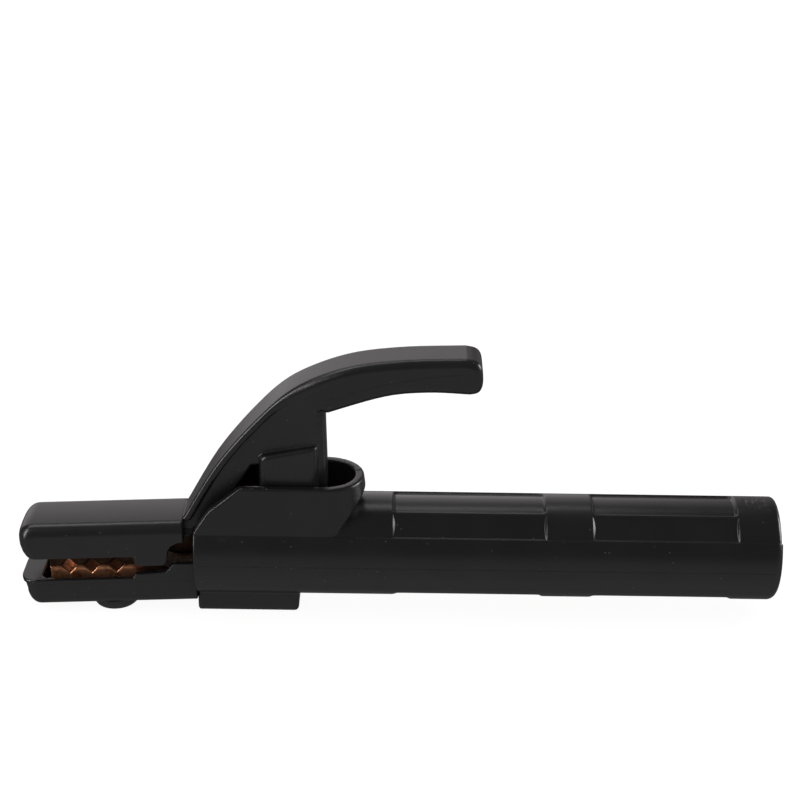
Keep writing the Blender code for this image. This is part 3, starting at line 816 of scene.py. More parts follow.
# ---- grip moulding
@dataclass
class GripMoulding:
    """The one-piece black moulding: tubular grip, housing, spring cup and foot."""

    tail_x: float = 113.7
    tail_round: float = 2.6
    tail_round_upper: float = 1.5
    upper_short: float = 0.5
    front_x: float = -60.0
    seam_x: float = -8.6
    panels: tuple[Point2, ...] = ((-1.5, 44.0), (57.5, 100.7))
    tray_depth: float = 0.8
    tray_deg: float = 25.8
    facet_from_deg: float = 27.5
    facet_distance: float = 14.62
    under_depth: float = 1.15
    bore_r: float = 10.3
    cable_room_r: float = 12.4
    tail_lip_r: float = 10.5
    rim_z: float = 23.1
    cup_centre_x: float = -21.3
    cup_r: float = 11.2
    cup_wall: float = 2.5
    foot: tuple[float, float, float, float] = (-60.4, -29.5, 6.5, -21.0)
    screw_x: float = -44.5
    parting_deg: float = 91.5

    def facet_depth(self, x: Array, deg: Array, radius: Array, start: float, end: float) -> Array:
        """How deep the flat side tray of one panel lies below the radius."""
        middle = (self.facet_from_deg + LEDGE_DEG) / 2
        flat = radius - self.facet_distance / np.cos(np.radians(np.clip(deg - middle, -30.0, 30.0)))
        start_slope, end_slope, side_slope = 0.8, 1.3, 1.6
        arc_low = (deg - self.facet_from_deg) * math.radians(COLLAR_R)
        arc_high = (LEDGE_DEG - 0.5 - deg) * math.radians(COLLAR_R)
        ends = np.minimum((x - start) * start_slope, (end - x) * end_slope)
        sides = np.minimum(arc_low, arc_high) * side_slope
        return np.maximum(-both(-flat, -np.minimum(ends, sides), 0.18), 0.0)

    def radius(self, x: Array, deg: Array) -> Array:
        """The grip's outer radius at a place along it and an angle from its top, in degrees."""
        base = COLLAR_R - UPPER_STEP * above_ledge(deg)
        depth = np.zeros(np.broadcast(x, deg).shape)
        for start, end in self.panels:
            across = deg * math.radians(COLLAR_R)
            tray = rounded_plan(x, across, start, end, self.tray_deg * math.radians(COLLAR_R), 1.5)
            depth = np.maximum(depth, self.tray_depth * ease(-tray, 0.0, 0.75))
            depth = np.maximum(depth, self.facet_depth(x, deg, base, start, end))
            ends = ease(x, start, start + 4.0) * ease(-x, -end, -end + 3.0)
            depth = np.maximum(depth, self.under_depth * ends * ease(deg, 136.0, 143.0))
        for mark_x, mark_deg, reach in ((104.6, 3.0, 1.1), (106.8, 9.0, 0.8), (108.9, 5.0, 0.6)):
            apart = np.hypot(x - mark_x, (deg - mark_deg) * math.radians(COLLAR_R))
            depth = depth + 0.13 * np.exp(-(((apart - reach) / 0.25) ** 2))
        return base - depth

    def turns(self) -> Array:
        """The angles of the grid lines round the grip, in radians, from the top and once round."""
        half = stations(
            (0.0, 12.0, 2.4), (12.0, 24.6, 1.4), (24.6, 28.8, 0.42), (28.8, 55.8, 1.5), (55.8, 58.2, 0.4),
            (58.2, 90.0, 2.8), (90.0, 135.0, 3.0), (135.0, 144.0, 1.3), (144.0, 180.0, 2.6),
        )
        return np.radians(np.concatenate([half, 360.0 - half[-2:0:-1]]))

    def housing(self, x: Array, y: Array, z: Array) -> Array:
        """The distance field of the housing, with its cup and foot."""
        r = np.hypot(y, z)
        deg = np.degrees(np.arctan2(np.abs(y), z))
        tube = r - (COLLAR_R - UPPER_STEP * above_ledge(deg))
        lean = 1.9 / 14.6
        half = self.cup_r + (self.rim_z - np.maximum(z, 6.0)) * lean
        wall = both(capsule_plan(x, y, self.cup_centre_x, half), z - self.rim_z, 0.6)
        tuck = -half_plane((-17.5, 9.5), (-10.5, 18.0), x, z)
        wall = np.maximum(both(wall, tuck, 0.45), 7.5 - z)
        solid = either(tube, wall, 0.3)
        low_x, high_x, foot_half, foot_z = self.foot
        plan = rounded_plan(x, y, low_x, high_x, foot_half, 1.3)
        foot = np.maximum(both(plan, foot_z - z, 1.5), z + 12.0)
        solid = either(solid, foot, 0.5)
        solid = both(solid, self.front_x - x, 0.55)
        inner = self.cup_r - self.cup_wall
        cavity = np.maximum(capsule_plan(x, y, self.cup_centre_x, inner), 1.0 - z)
        solid = without(solid, cavity, 0.4)
        solid = both(solid, half_plane((-60.0, 9.0), (-55.7, 15.6), x, z), 0.35)
        solid = both(solid, half_plane((-55.7, 15.6), (-46.4, 23.0), x, z), 0.35)
        solid = without(solid, r - self.bore_r, 0.25)
        solid = without(solid, brick(x, y, z, (-64.0, -6.9, -10.9), (-44.5, 6.9, 2.0)), 0.2)
        screw = (self.screw_x, 0.0)
        way = np.minimum(drilled(x, y, screw, 5.4, z + 17.0), drilled(x, y, screw, 3.4, z + 8.0))
        return without(solid, way, 0.3)

    def ring(self, x: Array | float, radius: Array, turns: Array) -> Array:
        """A ring of points round the grip, a little nearer at the tail above the ledge."""
        deg = np.degrees(np.minimum(turns, TAU - turns))
        place = x - self.upper_short * above_ledge(deg) * ease(np.asarray(x), 101.5, self.tail_x - 1.0)
        return np.stack([place, -radius * np.sin(turns), radius * np.cos(turns)], 1)

    def tube(self, turns: Array) -> Skin:
        """The grip from the seam to the tail, outside and inside, on the given angles."""
        deg = np.degrees(np.minimum(turns, TAU - turns))
        along = stations(
            (self.seam_x, -2.4, 1.5), (-2.4, 2.6, 0.22), (2.6, 40.4, 1.8), (40.4, 44.6, 0.25),
            (44.6, 57.0, 1.5), (57.0, 61.8, 0.22), (61.8, 97.0, 1.8), (97.0, 101.4, 0.25),
            (101.4, 103.2, 0.9), (103.2, 110.0, 0.35), (110.0, self.tail_x - self.tail_round, 0.5),
        )
        rings = [self.ring(x, self.radius(np.array(x), deg), turns) for x in along]
        bend = self.tail_round + (self.tail_round_upper - self.tail_round) * above_ledge(deg)
        for swing in np.radians(np.linspace(9.0, 84.0, 9)):
            less = bend * (1.0 - math.cos(swing))
            x = self.tail_x - bend * (1.0 - math.sin(swing))
            rings.append(self.ring(x, self.radius(np.full(len(deg), self.tail_x), deg) - less, turns))
        tail, lip, room, bore = self.tail_x, self.tail_lip_r, self.cable_room_r, self.bore_r
        inside = [(tail, 12.6), (tail, lip + 0.5), (tail - 0.15, lip + 0.15), (tail - 0.5, lip), (108.2, lip)]
        inside += [(107.8, lip + 0.2), (106.2, room - 0.2)]
        inside += [(x, room) for x in (105.8, 80.0, 50.0, 20.0, -6.6)]
        inside += [(-7.0, room - 0.2), (-7.6, bore + 0.2), (-8.0, bore), (self.seam_x, bore)]
        rings += [self.ring(x, np.full(len(turns), r), turns) for x, r in inside]
        return loft(rings)

    def shell(self) -> Skin:
        """The whole moulding, its housing and tube joined along the seam."""
        nodes = self.turns()
        middles = (nodes + np.append(nodes[1:], TAU)) / 2
        wrapped = np.concatenate([nodes, nodes[:2] + TAU])
        step = 0.52
        along = np.arange(self.seam_x + step / 2, self.front_x - 1.2, -step)[::-1]

        def bend(a: Array, b: Array, c: Array) -> tuple[Array, Array, Array]:
            """Coordinates along, round and out from the grip as x, y and z."""
            return a + 0.0 * b * c, -c * np.sin(b) + 0.0 * a, c * np.cos(b) + 0.0 * a

        net = Net(along, wrapped, stations((9.0, 18.0, 0.5), (18.0, 27.0, 0.55)), bend)
        skin = net.skin(self.housing)
        last = skin.cells[:, 0] == len(along) - 2
        turn = middles[skin.cells[last, 1] % len(middles)]
        outer = skin.cells[last, 2] > 6
        deg = np.degrees(np.minimum(turn, TAU - turn))
        seam = np.full(len(turn), self.seam_x)
        radius = np.where(outer, self.radius(seam, deg), self.bore_r)
        skin.points[last] = np.stack([seam, -radius * np.sin(turn), radius * np.cos(turn)], 1)
        return skin.add(self.tube(middles))

    def flash_line(self, side: float) -> Skin:
        """The thin, uneven line of flash where the mould's halves met."""
        along = np.arange(self.front_x + 0.7, self.tail_x - 1.8, 0.3)
        turn = math.radians(self.parting_deg)
        lift = self.radius(along, np.full(len(along), self.parting_deg)) - 0.03
        path = np.stack([along, side * lift * math.sin(turn), lift * math.cos(turn)], 1)
        ripple = np.sin(along * 5.3 + side) + np.sin(along * 2.1 + 1.0) + np.sin(along * 0.37 + side * 2.0)
        return tube_along(path, 0.07 + 0.1 * ease(ripple, 0.4, 2.6), 6)

    def rim_ridge(self) -> Skin:
        """The small weld line across the cup's rim at the rear."""
        turn = math.radians(14.0)
        reach = np.linspace(self.cup_r - self.cup_wall + 0.25, self.cup_r - 0.2, 8)
        flat = np.full(8, self.rim_z - 0.06)
        path = np.stack([self.cup_centre_x + reach * math.cos(turn), reach * math.sin(turn), flat], 1)
        return tube_along(path, 0.22, 8)

    def rim_burrs(self) -> Skin:
        """Three nubs of flash along the cup's near rim."""
        skins = []
        for x, length, radius in ((-46.0, 1.2, 0.2), (-43.4, 1.8, 0.24), (-38.6, 0.9, 0.18)):
            along = np.linspace(x, x + length, 7)
            sway = 0.12 * np.sin(along * 6.0)
            path = np.stack([along, -self.cup_r + 0.35 + sway, np.full(7, self.rim_z - 0.08)], 1)
            skins.append(tube_along(path, radius, 8))
        return skins[0].add(skins[1]).add(skins[2])

    def build(self) -> None:
        """Makes the moulding and the marks that its mould left."""
        add_piece("grip_moulding", self.shell(), BLACK, Body.GRIP, "handle_shell", weld=True)
        for name, side in (("near", -1.0), ("far", 1.0)):
            add_piece(f"grip_flash_{name}", self.flash_line(side), BLACK, Body.GRIP)
        add_piece("cup_rim_ridge", self.rim_ridge(), BLACK, Body.GRIP)
        add_piece("cup_rim_burrs", self.rim_burrs(), BLACK, Body.GRIP)


# ---- lever
@dataclass
class Lever:
    """The black squeeze lever: arm, rim, web, column and the box that covers the spring."""

    back: tuple[Point2, ...] = (
        (-63.0, 11.6), (-53.5, 28.1), (-42.0, 42.4), (-30.7, 52.8), (-16.0, 59.3), (0.0, 61.9), (19.0, 62.7),
    )
    end: tuple[Point2, ...] = ((21.8, 62.1), (23.4, 60.6), (24.0, 57.6), (23.9, 54.2), (22.7, 52.2))
    under: tuple[Point2, ...] = ((20.3, 51.6), (8.5, 52.0), (-4.0, 50.6), (-20.6, 45.2))
    half_width: float = 7.0
    top_round: float = 2.4
    rim_depth: float = 2.1
    rim_round: float = 1.1
    box: tuple[float, float, float] = (-40.8, -23.5, 8.2)
    box_low_z: float = 18.8
    column_x: float = -21.4
    screw: Point2 = (-40.0, 37.0)

    def shape(self, x: Array, y: Array, z: Array) -> Array:
        """The lever's distance field."""
        back = smooth_line(self.back, 7)
        under = smooth_line(self.under, 6)
        end = smooth_line([back[-1], *self.end, under[0]], 5)[1:-1]
        reach = (-27.0 - x) * 0.68 + (50.0 - z) * 0.73
        side = np.abs(y)
        from_back = line_distance(back, x, z)
        root = (-23.4, 46.0)
        low = [(-23.4, 30.0), (-43.0, 28.0), (-48.6, 18.9), (-49.4, 12.8), (-56.0, 10.8), (-61.8, 4.2)]
        low += [(-64.6, 4.2), (-64.6, 9.0)]
        whole = outline_distance(back + end + under + [root] + low, x, z)
        front = outline_distance([p for p in back if p[0] < -15.5] + [(-15.5, 52.0), root] + low, x, z)
        thick = self.half_width - 0.03 - 1.5 * ease(reach, -3.0, 24.0)
        web = both(both(front, self.rim_depth * 0.6 - from_back, 0.2), side - thick, 0.6)
        wide = self.half_width - 0.9 * ease(reach, 14.0, 58.0)
        bend = self.top_round + (self.rim_round - self.top_round) * ease(reach, -8.0, 12.0)
        depth = self.rim_depth + 1.2 * (1.0 - ease(reach, -8.0, 12.0))
        rim = both(both(whole, side - wide, bend), from_back - depth, 0.3)
        arm_line = [p for p in back if p[0] > -30.0] + end + under + [root]
        arm = both(outline_distance(arm_line, x, z), side - self.half_width, self.top_round)
        solid = np.minimum(either(rim, web, 0.55), arm)
        toe = outline_distance(low[-4:] + [(-56.0, 12.0), (-62.9, 11.8)], x, z)
        solid = np.minimum(solid, both(toe, side - 3.4 - (11.8 - z) * 0.42, 0.4))
        column_end = self.column_x + 0.5 * ease(46.0 - z, 0.0, 24.0)
        plan = np.maximum(both(x - column_end, np.abs(y) - 5.5, 3.2), -30.0 - x)
        column = np.maximum(plan, slab(z, self.box_low_z, 49.0))
        solid = either(solid, column, 0.35)
        low_x, high_x, box_half = self.box
        sloped = (z - 31.7 - (x - low_x) * 0.215) / 1.023
        box = both(rounded_plan(x, y, low_x, high_x, box_half, 2.6), sloped, 1.3)
        box = both(box, self.box_low_z - z, 0.6)
        solid = either(solid, box, 0.45)
        solid = without(solid, brick(x, y, z, (-67.0, -3.1, 0.0), (-47.0, 3.1, 9.4)), 0.2)
        solid = without(solid, drilled(x, z, (PIVOT_X, PIVOT_Z), 7.4, side - 8.5), 0.2)
        room = rounded_plan(x, y, -40.1, SPRING_X + 6.4, 6.4, 5.0)
        solid = without(solid, np.maximum(room, z - 28.9), 0.25)
        return without(solid, drilled(x, z, self.screw, 3.5, 3.5 - y), 0.2)

    def parting(self, side: float) -> Skin:
        """The thin line of flash along the arm's side, down to its end."""
        line = smooth_line([(-22.6, 49.2), (-13.6, 52.2), (-4.2, 54.9), (8.3, 57.4), (21.0, 58.8)], 16)
        points = np.array(line)
        y = np.full(len(points), side * (self.half_width - 0.02))
        ripple = np.sin(points[:, 0] * 3.1 + side) + np.sin(points[:, 0] * 0.9)
        radius = 0.06 + 0.05 * ease(ripple, 0.2, 1.8)
        return tube_along(np.stack([points[:, 0], y, points[:, 1]], 1), radius, 6)

    def build(self) -> None:
        """Makes the lever and its flash lines."""
        net = even_net((-64.2, -9.0, 3.6), (25.2, 9.0, 64.0), 0.5)
        add_piece("squeeze_lever", net.skin(self.shape), BLACK, Body.LEVER, "lever_shell")
        for name, side in (("near", -1.0), ("far", 1.0)):
            add_piece(f"lever_flash_{name}", self.parting(side), BLACK, Body.LEVER)


# ---- jaw covers
@dataclass
class JawCovers:
    """The black cap over the upper jaw and the trough under the lower one."""

    cap_half: float = 9.9
    trough_half: float = 9.3
    cap_top: float = 11.3
    cap_rear: float = -63.2
    shoulder: float = 3.3
    trough_floor: float = -15.6
    trough_rear: float = -60.7

    def cap(self, x: Array, y: Array, z: Array) -> Array:
        """The upper cover's distance field, in the head's own frame."""
        far, deep = -40.0, -30.0
        nose = [(-110.2, deep), (-111.2, 0.2), (-112.4, 1.9), (-113.2, 4.4)]
        crown = arc((-108.1, 6.2), 5.1, 176.0, 90.0, 12) + [(far, self.cap_top), (far, deep)]
        top = outline_distance(nose + crown, x, z) + 0.006 * y * y
        plan = rounded_plan(x, y, -114.9, far, self.cap_half, 5.6)
        solid = both(top, plan, self.shoulder)
        below = [(-130.0, 0.5), (-78.7, 0.5), (-78.2, -2.6), (-70.0, -2.6), (-68.9, -1.7), (-68.4, 0.4)]
        below += [(-68.1, 2.2), (-67.2, 3.7), (-65.2, 4.7), (-63.0, 5.1)]
        below += [(far, 5.1), (far, 30.0), (-130.0, 30.0)]
        solid = both(solid, outline_distance(below, x, z), 0.35)
        solid = both(solid, x - self.cap_rear, 0.45)
        return without(solid, brick(x, y, z, (-108.6, -6.2, -6.0), (-60.0, 6.2, 8.1)), 0.25)

    def trough(self, x: Array, y: Array, z: Array) -> Array:
        """The lower cover's distance field, in the head's own frame."""
        far = -40.0
        under = [(-113.8, 20.0), (-113.8, -7.6), (-112.5, -10.9)]
        under += arc((-107.9, -10.9), 4.7, 180.0, 270.0, 10)[1:] + [(far, self.trough_floor), (far, 20.0)]
        lip = 0.35 * ease(z, -8.3, -8.0)
        plan = rounded_plan(x, y, -113.7 - lip, far, self.trough_half - 0.2 + lip, 6.0)
        solid = both(outline_distance(under, x, z) - lip, plan, 2.2)
        edge = [(-130.0, -6.9), (-79.3, -6.9), (-78.5, -5.6), (-69.2, -5.0), (-68.2, -3.9), (-67.4, -2.9)]
        edge += [(-66.4, -2.4), (far, -2.4), (far, -40.0), (-130.0, -40.0)]
        solid = both(solid, outline_distance(edge, x, z), 0.3)
        solid = both(solid, x - self.trough_rear, 0.2)
        room = both(rounded_plan(x, y, -107.0, -30.0, 7.6, 2.2), -12.95 - z, 1.0)
        solid = without(solid, room, 0.25)
        return without(solid, drilled(x, y, (-86.0, 0.0), 2.5, z + 11.0), 0.2)

    def build(self) -> None:
        """Makes both covers."""
        net = even_net((-114.6, -10.7, -3.8), (-62.4, 10.7, 12.3), 0.45)
        skin = net.skin(self.cap).drooped()
        add_piece("upper_cover_moulding", skin, BLACK, Body.LEVER, "upper_jaw_cover")
        net = even_net((-115.0, -10.3, -16.4), (-59.8, 10.3, -1.4), 0.45)
        skin = net.skin(self.trough).drooped()
        add_piece("lower_cover_moulding", skin, BLACK, Body.GRIP, "lower_jaw_cover")


# ---- tongs
@dataclass
class Tongs:
    """The two copper castings: the live one with its cable socket, and the moving one."""

    split_z: float = -4.15
    gap: float = 0.3
    half_width: float = 5.6
    grooves: tuple[Point2, ...] = ((-98.8, 0.0), (-90.4, -18.0), (-83.0, -18.0))
    groove_half: float = 2.3
    groove_depth: float = 2.4
    shank_r: float = 9.9
    socket_r: float = 6.6
    pin_hole_r: float = 3.0

    def vees(self, x: Array, y: Array, z: Array, up: float) -> Array:
        """The rod grooves, opening upwards for up=1 and downwards for up=-1."""
        face = self.split_z - up * self.gap / 2
        slope = self.groove_half / self.groove_depth
        found = np.full(np.broadcast(x, y, z).shape, 1e6)
        for centre, yaw in self.grooves:
            turn = math.radians(yaw)
            across = np.abs((x - centre) * math.cos(turn) + y * math.sin(turn))
            vee = (across - self.groove_half - up * (z - face) * slope) / math.hypot(1.0, slope)
            found = np.minimum(found, vee)
        return found

    def live(self, x: Array, y: Array, z: Array) -> Array:
        """The fixed casting: lower jaw, pivot ears, spring seat, shank and cable socket."""
        hx, hz = undroop(x, z)
        side = np.abs(y)
        top = self.split_z - self.gap / 2
        bar = [(-104.8, -12.6), (-64.0, -12.6), (-61.5, -10.0), (-48.0, -10.0)]
        bar += [(-48.0, -6.2), (-68.0, -6.6), (-74.5, top), (-104.8, top)]
        jaw = both(outline_distance(bar, hx, hz), side - self.half_width, 1.1)
        jaw = without(jaw, self.vees(hx, y, hz, 1.0), 0.35)
        ear = [(-60.2, -9.0), (-47.0, -9.0)]
        ear += arc((PIVOT_X, PIVOT_Z), 6.2, 0.0, 180.0, 14) + [(-60.2, PIVOT_Z - 3.0)]
        ears = both(outline_distance(ear, x, z), slab(side, 3.6, 6.6), 0.3)
        neck = brick(x, y, z, (-59.6, -6.6, -9.4), (-45.0, 6.6, -5.0))
        shank = both(np.hypot(y, z) - self.shank_r, slab(x, -47.4, 31.0), 0.6)
        solid = either(np.minimum(jaw, shank), np.minimum(ears, neck), 0.5)
        solid = without(solid, brick(x, y, z, (-52.0, -12.0, 8.6), (-19.0, 12.0, 14.0)), 0.2)
        solid = without(solid, brick(x, y, z, (-52.0, -3.6, 1.0), (-43.2, 3.6, 14.0)), 0.2)
        pivot = np.hypot(x - PIVOT_X, z - PIVOT_Z)
        solid = without(solid, np.maximum(pivot - 7.2, side - 3.6), 0.2)
        solid = without(solid, pivot - self.pin_hole_r, 0.15)
        solid = without(solid, drilled(y, z, (0.0, 0.0), self.socket_r, -4.0 - x), 0.5)
        solid = without(solid, drilled(x, y, (-44.5, 0.0), 2.6, z + 2.0), 0.1)
        solid = without(solid, drilled(hx, y, (-86.0, 0.0), 2.1, hz + 7.6), 0.1)
        for centre in CableClamp.screws:
            solid = without(solid, drilled(x, y, (centre, 0.0), 4.05, 3.0 - z), 0.3)
        return solid

    def moving(self, x: Array, y: Array, z: Array) -> Array:
        """The moving casting: upper jaw, hub and the tang inside the lever."""
        hx, hz = undroop(x, z)
        side = np.abs(y)
        low = self.split_z + self.gap / 2
        bar = [(-104.6, low), (-72.0, low), (-69.0, 0.0), (-66.0, 2.2), (-66.0, 7.6), (-104.6, 7.6)]
        jaw = both(outline_distance(bar, hx, hz), side - self.half_width, 0.35)
        jaw = without(jaw, self.vees(hx, y, hz, -1.0), 0.16)
        arm = [(-74.0, -2.6), (-60.0, -3.0)] + arc((PIVOT_X, PIVOT_Z), 5.8, 240.0, 340.0, 8)
        arm += [(-49.5, 9.0), (-57.0, 9.0), (-62.0, 6.4), (-74.0, 5.6)]
        link = both(outline_distance(arm, x, z), side - 2.8, 0.4)
        tang = [(-57.0, 8.0), (-51.0, 4.0), (-50.6, 16.0), (-44.6, 31.0), (-24.0, 46.4), (-6.0, 54.2)]
        tang += [(-6.0, 57.2), (-27.0, 50.4), (-41.5, 38.0), (-52.0, 24.0)]
        blade = both(outline_distance(tang, x, z), side - 2.2, 0.3)
        pivot = np.hypot(x - PIVOT_X, z - PIVOT_Z)
        hub = both(pivot - 5.8, side - 2.8, 0.3)
        solid = either(jaw, np.minimum(np.minimum(link, hub), blade), 1.0)
        solid = without(solid, pivot - self.pin_hole_r, 0.15)
        return without(solid, drilled(hx, y, (-76.5, 0.0), 1.75, hz - 10.0), 0.1)

    def build(self) -> None:
        """Makes both castings."""
        net = Net(
            stations((-105.8, -76.0, 0.36), (-76.0, -43.0, 0.55), (-43.0, 32.2, 1.2)),
            stations((-10.5, 10.5, 0.5)),
            stations((-15.6, -4.5, 0.4), (-4.5, 10.6, 0.55)),
        )
        add_piece("live_casting", net.skin(self.live), LIVE_COPPER, Body.GRIP, "lower_tong")
        net = Net(
            stations((-105.8, -62.0, 0.4), (-62.0, -45.0, 0.6), (-45.0, -5.2, 1.2)),
            stations((-6.2, 6.2, 0.5)),
            stations((-7.6, 12.0, 0.4), (12.0, 58.6, 1.2)),
        )
        add_piece("moving_casting", net.skin(self.moving), MOVING_COPPER, Body.LEVER, "upper_tong")


# ---- pivot and fasteners
@dataclass
class Fasteners:
    """The pivot's pin, clip and washers, and the screws that hold the covers and the shells."""

    pin_r: float = 2.9
    hex_r: float = 2.3

    def pivot(self) -> None:
        """Makes the pin with its clip and washers."""
        centre = (PIVOT_X, 0.0, PIVOT_Z)
        pin = [(-8.3, TIP_R), (-8.3, 3.9), (-7.8, 4.3), (-7.0, 4.3), (-7.0, self.pin_r), (7.3, self.pin_r)]
        pin += [(7.3, 2.3), (7.9, 2.3), (7.9, self.pin_r), (8.3, 2.5), (8.3, TIP_R)]
        add_piece("pin", turned(eased_profile(pin, 0.2), Axis.Y, centre), ZINC, Body.GRIP, "pivot_pin")
        clip = self.washer(2.45, 4.4, 7.4, 7.8, Axis.Y, centre)
        add_piece("pin_clip", clip, SPRING_WIRE, Body.GRIP, "pivot_clip")
        for name, low in (("near", -3.45), ("far", 2.95)):
            ring = self.washer(3.1, 5.6, low, low + 0.5, Axis.Y, centre)
            add_piece(f"thrust_washer_{name}", ring, ZINC, Body.GRIP, f"pivot_washer_{name}")

    @staticmethod
    def washer(
        inner: float, outer: float, low: float, high: float, axis: Axis, centre: Sequence[float]
    ) -> Skin:
        """A flat ring with softened edges."""
        corners = [(low, inner), (low, outer), (high, outer), (high, inner), (low, inner)]
        return turned(eased_profile(corners, 0.12, 2), axis, centre)

    def hexed(self, radius: float, angles: Array) -> Array:
        """A ring's radius at each angle: six-sided in the socket and at its chamfer, else round."""
        if min(abs(radius - self.hex_r), abs(radius - self.hex_r - SOCKET_CHAMFER)) > 1e-6:
            return np.full(len(angles), radius)
        sector = np.mod(angles, math.radians(60.0)) - math.radians(30.0)
        return radius * math.cos(math.radians(30.0)) / np.cos(sector)

    def screws(self) -> None:
        """Makes the screws of the grip, the covers and the lever."""
        centre = (GripMoulding.screw_x, 0.0, 0.0)
        head = [(-19.0, TIP_R), (-19.0, self.hex_r), (-20.45, self.hex_r)]
        head += [(-20.6, self.hex_r + SOCKET_CHAMFER), (-20.6, 3.9), (-20.45, 4.25), (-20.1, 4.4)]
        head += [(-18.1, 4.4), (-17.9, 4.2), (-17.9, 2.6), (-17.7, 2.45)]
        skin = screw_thread(head, (-17.4, -3.4), 2.45, 1.0, self.hexed, centre)
        add_piece("grip_screw", skin, ZINC, Body.GRIP, "handle_screw")
        ring = self.washer(2.7, 4.9, -17.7, -17.2, Axis.Z, centre)
        add_piece("grip_screw_washer", ring, ZINC, Body.GRIP, "handle_screw_washer")

        dome = [(-19.4, TIP_R), (-19.4, 1.2), (-20.7, 1.4), (-20.8, 1.8), (-20.6, 3.6), (-20.0, 5.2)]
        dome += [(-18.9, 6.5), (-17.4, 7.3), (-15.9, 7.5), (-15.65, 7.2), (-15.65, 2.0)]
        dome += [(-8.6, 2.0), (-8.6, TIP_R)]
        skin = turned(eased_profile(dome, 0.35), Axis.Z, (-86.4, 0.0, 0.0)).drooped()
        add_piece("dome_screw", skin, BLACK, Body.GRIP, "lower_cover_screw")

        pin = [(-3.6, TIP_R), (-3.6, 1.25), (-3.4, 1.5), (10.6, 1.5), (10.8, 1.3), (10.8, TIP_R)]
        skin = turned(eased_profile(pin, 0.15), Axis.Z, (-76.5, 0.0, 0.0)).drooped()
        add_piece("cap_screw", skin, ZINC, Body.LEVER, "upper_cover_screw")

        x, z = Lever.screw
        head = [(-0.6, TIP_R), (-0.6, 0.9), (-0.4, 1.1), (3.7, 1.1), (3.7, 3.0), (3.85, 3.1), (4.25, 3.1)]
        head += [(4.7, 2.5), (4.88, 1.6), (4.9, 1.2), (4.2, 1.0), (4.15, TIP_R)]
        skin = turned(eased_profile(head, 0.12), Axis.Y, (x, 0.0, z))
        add_piece("lever_fixing_screw", skin, ZINC, Body.LEVER, "lever_screw")

    def build(self) -> None:
        """Makes them all."""
        self.pivot()
        self.screws()


def screw_thread(
    head: Sequence[Point2],
    span: Point2,
    radius: float,
    pitch: float,
    shape: Callable[[float, Array], Array],
    centre: Sequence[float],
    tail: Sequence[Point2] = (),
) -> Skin:
    """A screw with a helical thread.

    Args:
        head: The profile from the middle of the head out and down to where the thread starts.
        span: Where the thread starts and ends along Z.
        radius: The thread's outer radius.
        pitch: The thread's pitch.
        shape: Makes a ring round or six-sided.
        centre: A point on the screw's axis.
        tail: The profile beyond the thread. It ends in a small cone where none is given.

    Returns:
        The screw's skin.
    """
    segments = 48
    angles = np.arange(segments) * TAU / segments
    steps = max(2, int(abs(span[1] - span[0]) / pitch * 8))
    flat = [(place, shape(r, angles)) for place, r in head]
    depth = pitch * 0.5
    for place in np.linspace(span[0], span[1], steps):
        fade = min(1.0, min(abs(place - span[0]), abs(place - span[1])) / (pitch * 0.6))
        phase = np.mod(place / pitch - angles / TAU, 1.0)
        flat.append((place, radius - depth * fade * np.abs(2.0 * phase - 1.0) ** 1.3))
    way = math.copysign(1.0, span[1] - span[0])
    ends = tail or ((span[1] + way * 0.25, radius - 0.35), (span[1] + way * 0.3, TIP_R))
    flat += [(place, shape(r, angles)) for place, r in ends]
    rings = []
    for place, r in flat:
        ring = np.stack([r * np.cos(angles), r * np.sin(angles), np.full(segments, place)], 1)
        rings.append(ring + np.array([centre[0], centre[1], 0.0]))
    return loft(rings)


# ---- cable clamp and spring
@dataclass
class CableClamp:
    """Two socket grub screws and the plate that they press on the cable."""

    screws = (6.0, 20.0)
    screw_r: float = 3.9
    pitch: float = 1.25
    low_z: float = 2.8
    high_z: float = 10.8
    plate_half: Point2 = (11.7, 4.8)
    plate_thick: float = 1.9
    plate_top: float = 2.7

    def grub_screw(self, x: float) -> Skin:
        """A socket set screw with its thread, hexagon and cup point."""
        low, high, socket = self.low_z, self.high_z, Fasteners.hex_r
        head = [(high - 4.0, TIP_R), (high - 3.9, socket), (high - SOCKET_CHAMFER, socket)]
        head += [(high, socket + SOCKET_CHAMFER), (high, 3.2), (high - 0.2, 3.45)]
        tail = ((low + 0.5, 3.1), (low, 2.6), (low, 1.9), (low + 0.5, TIP_R))
        span = (high - 0.3, low + 0.8)
        return screw_thread(head, span, self.screw_r, self.pitch, Fasteners().hexed, (x, 0.0), tail)

    def plate(self, x: Array, y: Array, z: Array) -> Array:
        """The pressure plate's distance field, with marks where the screws bear on it."""
        middle = sum(self.screws) / 2
        half_length, half_width = self.plate_half
        plan = rounded_plan(x, y, middle - half_length, middle + half_length, half_width, half_width - 0.01)
        solid = both(plan, slab(z, self.plate_top - self.plate_thick, self.plate_top), 0.3)
        for centre in self.screws:
            ring = np.hypot(np.hypot(x - centre, y) - 2.4, z - self.plate_top) - 0.16
            solid = without(solid, ring, 0.05)
        return solid

    def build(self) -> None:
        """Makes the screws and the plate."""
        names = ((Body.FRONT_SCREW, "front_set_screw"), (Body.REAR_SCREW, "rear_set_screw"))
        for x, (body, node) in zip(self.screws, names):
            add_piece(node.replace("set", "grub"), self.grub_screw(x), BLACK_OXIDE, body, node)
        net = Net(stations((0.6, 25.4, 0.4)), stations((-5.4, 5.4, 0.4)), stations((0.4, 3.2, 0.25)))
        add_piece("clamp_pressure_plate", net.skin(self.plate), ZINC, Body.PLATE, "pressure_plate")


